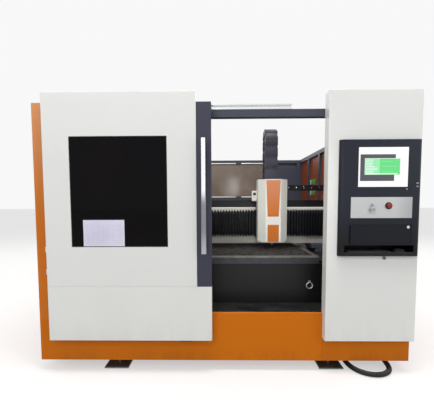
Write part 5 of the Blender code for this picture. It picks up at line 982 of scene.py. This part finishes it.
def addKeyboard(columns, rows, gap, rim, capRise, capSteps, wideKeys):
    # capSteps: how far each ring of a cap stands in, and its height against the caps' tops
    low, high = (Vector(corner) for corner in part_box("keyboard"))
    shape = bmesh.new()
    deck = high.z - capRise
    softBox(shape, low, (high.x, high.y, deck), 0.003, 3)
    stepX = (high.x - low.x - 2 * rim) / columns
    stepY = (high.y - low.y - 2 * rim) / rows
    for row in range(rows):
        column = 0
        while column < columns:
            wide = wideKeys.get((row, column), 1)
            x0, y0 = low.x + rim + stepX * column, low.y + rim + stepY * row
            x1, y1 = x0 + stepX * wide - gap, y0 + stepY - gap
            part = bmesh.new()
            rings = []
            for inset, rise in capSteps:
                xa, ya, xb, yb = x0 + inset, y0 + inset, x1 - inset, y1 - inset
                rings.append([part.verts.new((x, y, high.z + rise))
                              for x, y in ((xa, ya), (xb, ya), (xb, yb), (xa, yb))])
            for ring, following in zip(rings, rings[1:]):
                bridge(part, ring, following)
            part.faces.new(rings[0])
            part.faces.new(rings[-1])
            merge(shape, part, None, 1)
            column += wide
    makePiece("keyboard_keys", shape, [blackPlastic, capPlastic], "tray", ("keyboard",))


addKeyboard(**keyboardFacts)


mouseFacts = dict(place=(1.388, 0.035, 0.9925), size=(0.098, 0.058, 0.034), turn=-12.0, belly=0.12,
                  square=0.12, taper=0.10, slope=0.18, lift=0.12, stretch=1.7, wheel=(0.52, -0.003, 1.30))


def addMouse(place, size, turn, belly, square, taper, slope, lift, stretch, wheel):
    shape, part = bmesh.new(), bmesh.new()
    bmesh.ops.create_uvsphere(part, u_segments=32, v_segments=18, radius=1.0)
    long, wide, tall = (value / 2 for value in size)
    for vert in part.verts:
        x, y, z = vert.co
        rise = z if z > 0 else z * belly  # flat below
        fuller = 1 + square * abs(x * y)
        vert.co = Vector((x * long * fuller, y * wide * fuller * (1 - taper * x),
                          (rise * (1 - slope * x) + lift) * tall * stretch))
    bmesh.ops.translate(part, verts=part.verts, vec=(0, 0, -min(vert.co.z for vert in part.verts)))
    seat = Matrix.Translation(at(*place)) @ Matrix.Rotation(radians(turn), 4, "Z")
    merge(shape, part, seat)
    turned(shape, seat @ Vector((long * wheel[0], wheel[1], tall * wheel[2])), seat.to_3x3() @ Vector(rearward),
           [(0.007, 0.0), (0.0085, 0.0015), (0.0085, 0.0045), (0.007, 0.006)], 20, 1)
    makePiece("mouse", shape, [capPlastic, blackPlastic], "tray", angle=60)


addMouse(**mouseFacts)
print("console is fitted out")


# Door: sheet on the glass, gasket, stop tabs

sheetFacts = dict(x=(-1.10, -0.775), z=(1.046, 1.257), face=0.0019, thick=0.0003, across=16, down=12,
                  curl=(0.0035, 0.28, 0.45), wave=0.0003)


def addSheet(x, z, face, thick, across, down, curl, wave):
    # curl: how far the upper left corner comes off, and over which shares of the width and height
    lift, wideShare, tallShare = curl
    shape = bmesh.new()
    grids = []
    for back in (0.0, thick):
        grid = {}
        for j in range(down + 1):
            for i in range(across + 1):
                u, v = i / across, j / down
                off = lift * max(0.0, 1 - u / wideShare) * max(0.0, 1 - (1 - v) / tallShare)
                off += wave * (1 + sin(u * 9 + v * 5))
                grid[j, i] = shape.verts.new(at(x[0] + (x[1] - x[0]) * u, face - thick - off + back,
                                                z[0] + (z[1] - z[0]) * v))
        grids.append(grid)
        for j in range(down):
            for i in range(across):
                shape.faces.new((grid[j, i], grid[j, i + 1], grid[j + 1, i + 1], grid[j + 1, i]))
    border = ([(0, i) for i in range(across)] + [(j, across) for j in range(down)]
              + [(down, across - i) for i in range(across)] + [(down - j, 0) for j in range(down)])
    bridge(shape, *([grid[key] for key in border] for grid in grids))
    makePiece("paper_form", shape, [paperSheet], "door", angle=60)


addSheet(**sheetFacts)


gasketFacts = dict(low=(-1.1947, 1.0433), high=(-0.4333, 1.9047), width=0.006, face=0.0009, back=0.0021,
                   stops=(1.010, 0.830))


def addGasket(low, high, width, face, back, stops):
    shape = bmesh.new()
    (x0, z0), (x1, z1) = low, high
    for (xa, za), (xb, zb) in (((x0, z0), (x1, z0 + width)), ((x0, z1 - width), (x1, z1)),
                               ((x0, z0 + width), (x0 + width, z1 - width)),
                               ((x1 - width, z0 + width), (x1, z1 - width))):
        softBox(shape, at(xa, face, za), at(xb, back, zb), 0.0005, 1)
    makePiece("window_gasket", shape, [gasketRubber], "door")
    shape = bmesh.new()
    for z in stops:  # they meet the closing edge
        softBox(shape, at(-1.4150, 0.012, z - 0.012), at(-1.4032, 0.040, z + 0.034), 0.003, 3)
    makePiece("door_stops", shape, [tabWhite], "door")


addGasket(**gasketFacts)
print("door is fitted out")


# Rear wall trims, racks with teeth, rail screws

trimFacts = dict(runs=((-1.20, -0.755), (-0.645, 0.245), (0.355, 0.80)), heights=(2.112, 1.474), tall=0.017,
                 face=3.7520, back=3.7557)


def addTrims(runs, heights, tall, face, back):
    shape = bmesh.new()
    for z in heights:
        for start, end in runs:
            softBox(shape, at(start, face, z), at(end, back, z + tall), 0.0012)
    makePiece("pane_trims", shape, [trimAluminium], "cabin")


rackFacts = dict(pitch=0.00942, tooth=0.0055, low=0.82, high=0.85, inner=1.1203, outer=1.1423, start=0.40,
                 end=3.73)


def addRacks(pitch, tooth, low, high, inner, outer, start, end):
    root = outer - tooth
    outline = [(inner, start)]
    for index in range(int((end - start) / pitch)):
        for share, x in ((0.0, root), (0.16, root), (0.36, outer), (0.64, outer), (0.84, root)):
            outline.append((x, start + (index + share) * pitch))
    outline += [(root, end), (inner, end)]
    for side, mark in bothSides:
        shape = bmesh.new()
        near, far = ([shape.verts.new(at(side * x, y, z)) for x, y in outline] for z in (low, high))
        bridge(shape, near, far)
        for ring in (near, far):
            shape.faces.new(ring)
        bmesh.ops.triangulate(shape, faces=[face for face in shape.faces if len(face.verts) > 4])
        makePiece(f"toothed_rack_{mark}", shape, [rackSteel], "cabin", (f"rack_{mark}",))


screwFacts = dict(railX=1.02, start=0.44, pitch=0.12, count=28, top=0.8903, radius=0.0065)


def addRailScrews(railX, start, pitch, count, top, radius):
    for side, mark in bothSides:
        shape = bmesh.new()
        for step in range(count):
            turned(shape, at(side * railX, start + pitch * step, top - 0.0006), upward,
                   [(radius, 0.0), (radius, 0.0009), (radius * 0.6, 0.0009), (radius * 0.5, 0.0003), (0, 0.0003)], 12)
        makePiece(f"rail_screws_{mark}", shape, [darkSteel], "cabin")


addTrims(**trimFacts)
addRacks(**rackFacts)
addRailScrews(**screwFacts)
print("trims, racks and rail screws are in place")


# Cabin walls: corner covers, quarter-turn latches, pressed louvres, signal plates

wallFacts = dict(skin=1.5130, rearSkin=3.7980, left=(0.1340, 3.80), right=(0.1003, 3.80),
                 bays=6, inset=0.060, heights=(0.50, 2.11), latch=0.013, rearX=(0.43, 0.55, 1.41),
                 rearZ=(0.50, 1.36))


def bayEnds(walls, mark, number, inset):
    start, end = walls[mark]
    bay = (end - start) / walls["bays"]
    return start + bay * number + inset, start + bay * (number + 1) - inset


def addLatch(shape, place, axis, across, radius):
    turned(shape, place, axis, [(radius, -0.0008), (radius, 0.0008), (radius * 0.84, 0.0016), (0, 0.0016)], 18)
    across = Vector(across)
    turn = Matrix((across, Vector(axis).cross(across), Vector(axis))).transposed().to_4x4()
    softBox(shape, (-radius * 0.62, -0.0014, 0.0012), (radius * 0.62, 0.0014, 0.0019), 0.0, 1, 1,
            Matrix.Translation(place) @ turn)


def addWallLatches(facts):
    pieces = {}
    for side, mark in bothSides:
        shape = pieces[mark] = bmesh.new()
        for number in range(facts["bays"]):
            for y in bayEnds(facts, mark, number, facts["inset"]):
                for z in facts["heights"]:
                    addLatch(shape, at(side * facts["skin"], y, z), (side, 0, 0), (0, 0.6, 0.8), facts["latch"])
    shape = pieces["rear"] = bmesh.new()
    for side in (-1, 1):
        for x in facts["rearX"]:
            for z in facts["rearZ"]:
                addLatch(shape, at(side * x, facts["rearSkin"], z), rearward, (0.8, 0, 0.6), facts["latch"])
    for mark, shape in pieces.items():
        makePiece(f"wall_latches_{mark}", shape, [screwSteel, blackPlastic], "cabin")


cornerFacts = dict(x=(1.4712, 1.5045), y=(3.7860, 3.7950), z=(0.4313, 2.179), screwX=1.488, screwZ=0.55,
                   screwPitch=0.30, screws=6)


def addCornerCovers(x, y, z, screwX, screwZ, screwPitch, screws):
    for side, mark in bothSides:
        shape = bmesh.new()
        inner, outer = sorted(side * value for value in x)
        softBox(shape, at(inner, y[0], z[0]), at(outer, y[1], z[1]), 0.0015)
        for step in range(screws):
            turned(shape, at(side * screwX, y[1], screwZ + step * screwPitch), rearward,
                   [(0.005, -0.001), (0.005, 0.0012), (0.0035, 0.0026), (0, 0.0028)], 14, 1)
        makePiece(f"corner_cover_{mark}", shape, [wallOrange, screwSteel], "cabin")


louvreFacts = dict(count=12, pitch=0.027, low=0.60, tall=0.015, proud=0.0019, bays=(4, 5), margin=0.10)


def addLouvres(walls, count, pitch, low, tall, proud, bays, margin):
    for side, mark in bothSides:
        shape = bmesh.new()
        root, slit, lip = (side * (walls["skin"] + rise) for rise in (-0.0004, 0.0003, proud))
        for number in bays:
            near, far = bayEnds(walls, mark, number, margin)
            for z in (low + row * pitch for row in range(count)):
                outline = [(root, z + tall), (lip, z + 0.003), (lip, z), (root, z)]
                extruded(shape, [at(x, near, pz) for x, pz in outline], (0, far - near, 0), 0.0002)
                softBox(shape, at(min(root, slit), near + 0.002, z - 0.0035), at(max(root, slit), far - 0.002, z),
                        0.0, 1, 1)
        makePiece(f"louvres_{mark}", shape, [wallOrange, gasketRubber], "cabin")


plateFacts = dict(x=1.5046, y=(2.83, 3.24), split=3.06, heights=((1.503, 1.571), (1.680, 1.760)), thick=0.0018)


def addSignalPlates(x, y, split, heights, thick):
    # two plain plates, half white and half green, on the right wall behind the gantry
    shape = bmesh.new()
    for low, high in heights:
        for near, far, paint in ((y[0], split, 1), (split, y[1], 0)):
            softBox(shape, at(x - thick, near, low), at(x, far, high), 0.0006, 2, paint)
        for screwY in (y[0] + 0.012, y[1] - 0.012):
            turned(shape, at(x - thick, screwY, (low + high) / 2), (-1, 0, 0),
                   [(0.004, -0.0005), (0.004, 0.0008), (0, 0.0014)], 12, 2)
    makePiece("signal_plates", shape, [tabWhite, plateGreen, darkSteel], "cabin")


addWallLatches(wallFacts)
addCornerCovers(**cornerFacts)
addLouvres(wallFacts, **louvreFacts)
addSignalPlates(**plateFacts)
print("walls have their fittings")


# Supply plate on the back: cable glands, gas couplings, main switch

supplyFacts = dict(x=(0.96, 1.30), z=(0.60, 0.90), face=3.7978, thick=0.003, screwInset=0.015,
                   glands=((1.01, 0.66), (1.08, 0.66), (1.15, 0.66)), couplings=((1.01, 0.80), (1.08, 0.80)),
                   switch=(1.215, 0.785), switchHalf=0.036)
# profiles of the round fittings, with their sides and their material
screwTurns = (([(0.0055, -0.001), (0.0055, 0.002), (0.004, 0.0035), (0, 0.0037)], 6, 1),)
glandTurns = (([(0.019, -0.001), (0.019, 0.007)], 6, 2),
              ([(0.015, 0.006), (0.0165, 0.008), (0.0165, 0.020), (0.013, 0.027), (0.0095, 0.028), (0.0095, 0.022),
                (0, 0.022)], 24, 2))
couplingTurns = (([(0.016, -0.001), (0.016, 0.011)], 6, 3),
                 ([(0.0095, 0.010), (0.0095, 0.018), (0.0082, 0.019), (0.0095, 0.021), (0.0082, 0.023),
                   (0.0095, 0.025), (0.0082, 0.027), (0.0082, 0.036), (0.0052, 0.036), (0.0052, 0.030),
                   (0, 0.030)], 24, 3))
switchTurns = (([(0.022, 0.003), (0.022, 0.009), (0.019, 0.012), (0, 0.012)], 28, 5),)


def addSupplyPlate(x, z, face, thick, screwInset, glands, couplings, switch, switchHalf):
    shape = bmesh.new()
    front = face + thick
    softBox(shape, at(x[0], face, z[0]), at(x[1], front, z[1]), 0.0012)
    screws = [(sx, sz) for sx in (x[0] + screwInset, x[1] - screwInset)
              for sz in (z[0] + screwInset, z[1] - screwInset)]
    for places, turns in ((screws, screwTurns), (glands, glandTurns), (couplings, couplingTurns),
                          ((switch,), switchTurns)):
        for px, pz in places:
            for profile, sides, paint in turns:
                turned(shape, at(px, front, pz), rearward, profile, sides, paint)
    sx, sz = switch
    softBox(shape, at(sx - switchHalf, front - 0.0005, sz - switchHalf),
            at(sx + switchHalf, front + 0.004, sz + switchHalf), 0.002, 2, 4)
    softBox(shape, at(sx - 0.006, front + 0.010, sz - 0.020), at(sx + 0.006, front + 0.026, sz + 0.020), 0.003, 3, 5)
    makePiece("supply_plate", shape, [trimAluminium, screwSteel, blackPlastic, brass, switchYellow, switchRed],
              "cabin")


addSupplyPlate(**supplyFacts)


# Gantry motors: plugs and leads; cap screws on the carriage and the saddles

motorFacts = dict(x=1.1726, rear=1.125, plugY=1.128, plugZ=1.13, lead=0.0055, gland=(1.214, 0.9465), route=(
    (1.147, 1.118), (1.182, 1.112), (1.206, 1.085), (1.214, 1.040), (1.214, 0.990), (1.214, 0.950)))


def addMotorLeads(x, rear, plugY, plugZ, lead, gland, route):
    for side, mark in bothSides:
        shape = bmesh.new()
        here = side * x
        softBox(shape, at(here - 0.020, rear - 0.001, plugZ - 0.026), at(here + 0.020, plugY + 0.016, plugZ + 0.016),
                0.003)
        turned(shape, at(here, plugY + 0.012, plugZ - 0.010), (0, 0.94, -0.34),
               [(0.012, 0.0), (0.012, 0.012), (0.009, 0.018), (0.009, 0.020)], 20)
        points = smoothRoute([at(here, y, z) for y, z in route], 6)
        tube(shape, points, [lead] * len(points), 14, 1)
        turned(shape, at(here, *gland), upward, [(0.013, 0.0), (0.013, 0.006), (0.009, 0.012), (0.006, 0.013)], 18)
        makePiece(f"motor_lead_{mark}", shape, [blackPlastic, leadOrange], "gantry")


capFacts = dict(radius=0.0062, socket=0.0036, carriageX=(0.385, 0.655), carriageY=(1.010, 1.100), carriageTop=1.588,
                saddleX=(-1.085, -0.965, 0.965, 1.085), saddleY=(0.905, 1.235), saddleTop=0.9467)


def addCapScrews(facts):
    radius, socket = facts["radius"], facts["socket"]
    for kind, body in (("carriage", "carriage"), ("saddle", "gantry")):
        shape = bmesh.new()
        for x in facts[kind + "X"]:
            for y in facts[kind + "Y"]:
                turned(shape, at(x, y, facts[kind + "Top"]), upward,
                       [(radius, -0.001), (radius, 0.005), (radius * 0.9, 0.006), (socket, 0.006),
                        (socket, 0.003), (0, 0.003)], 16)
        makePiece(f"{kind}_screws", shape, [darkSteel], body)


addMotorLeads(**motorFacts)
addCapScrews(capFacts)
print("back and gantry have their fittings")


# Studio: pale floor, soft light

def seenRays(tree):
    path = put(tree, "LightPath").outputs
    return calc(tree, "MAXIMUM", path["Is Camera Ray"],
                calc(tree, "MAXIMUM", path["Is Glossy Ray"], path["Is Transmission Ray"]))


floorFacts = dict(half=60.0, colour=(180, 180, 179), glow=0.50)
worldFacts = dict(unseen=0.38, seen=0.56)
lampFacts = dict(
    key=dict(place=(-3.4, -8.2, 5.6), aim=(0.0, -1.0, 1.0), size=(5.0, 4.0), power=205.0),
    fill=dict(place=(6.0, -6.5, 3.6), aim=(0.2, -1.0, 1.0), size=(4.0, 4.0), power=90.0),
    top=dict(place=(0.2, -3.1, 7.4), aim=(0.3, -0.9, 1.1), size=(3.6, 2.0), power=330.0),
    back=dict(place=(1.0, 8.5, 5.2), aim=(0.0, 1.0, 1.2), size=(5.0, 3.5), power=230.0),
    left=dict(place=(-8.5, 1.5, 4.2), aim=(-1.5, 0.0, 1.2), size=(4.5, 3.0), power=130.0),
    right=dict(place=(8.5, 1.5, 4.2), aim=(1.5, 0.0, 1.2), size=(4.5, 3.0), power=130.0),
    opening=dict(place=(0.55, -4.9, 2.0), aim=(0.47, -1.45, 1.36), size=(0.5, 0.5), power=0.5, spread=0.42))


def addFloor(half, colour, glow):
    material, tree, shader = newMaterial("studioFloor")
    feed(tree, shader, {"Roughness": scaled(tree, noiseValue(tree, 3.0, 3.0), 0.1, 0.55), "Base Color": colour,
                        "Specular IOR Level": 0.2, "Emission Color": full,
                        "Emission Strength": product(tree, seenRays(tree), glow)})
    shape = bmesh.new()
    bmesh.ops.create_grid(shape, x_segments=1, y_segments=1, size=half)
    makePiece("floor", shape, [material])


def addLamp(name, place, aim, size, power, spread=pi):
    data = bpy.data.lights.new(name, "AREA")
    data.shape = "RECTANGLE"
    data.size, data.size_y = size
    data.energy, data.spread = power, spread
    lamp = bpy.data.objects.new(name, data)
    lamp.location = place
    lamp.rotation_euler = (Vector(place) - Vector(aim)).to_track_quat("Z", "Y").to_euler()
    scene.collection.objects.link(lamp)


def addWorld(unseen, seen):
    world = bpy.data.worlds.new("studioWorld")
    scene.world = world
    world.use_nodes = True
    tree = world.node_tree
    tree.nodes.clear()
    sky = put(tree, "Background", {"Color": full, "Strength": scaled(tree, seenRays(tree), seen, unseen)})
    put(tree, "OutputWorld", {0: sky.outputs[0]})


addFloor(**floorFacts)
for lampName, lampValues in lampFacts.items():
    addLamp(lampName + "Lamp", **lampValues)
addWorld(**worldFacts)
scene.view_settings.view_transform = "Standard"
print("studio is lit")
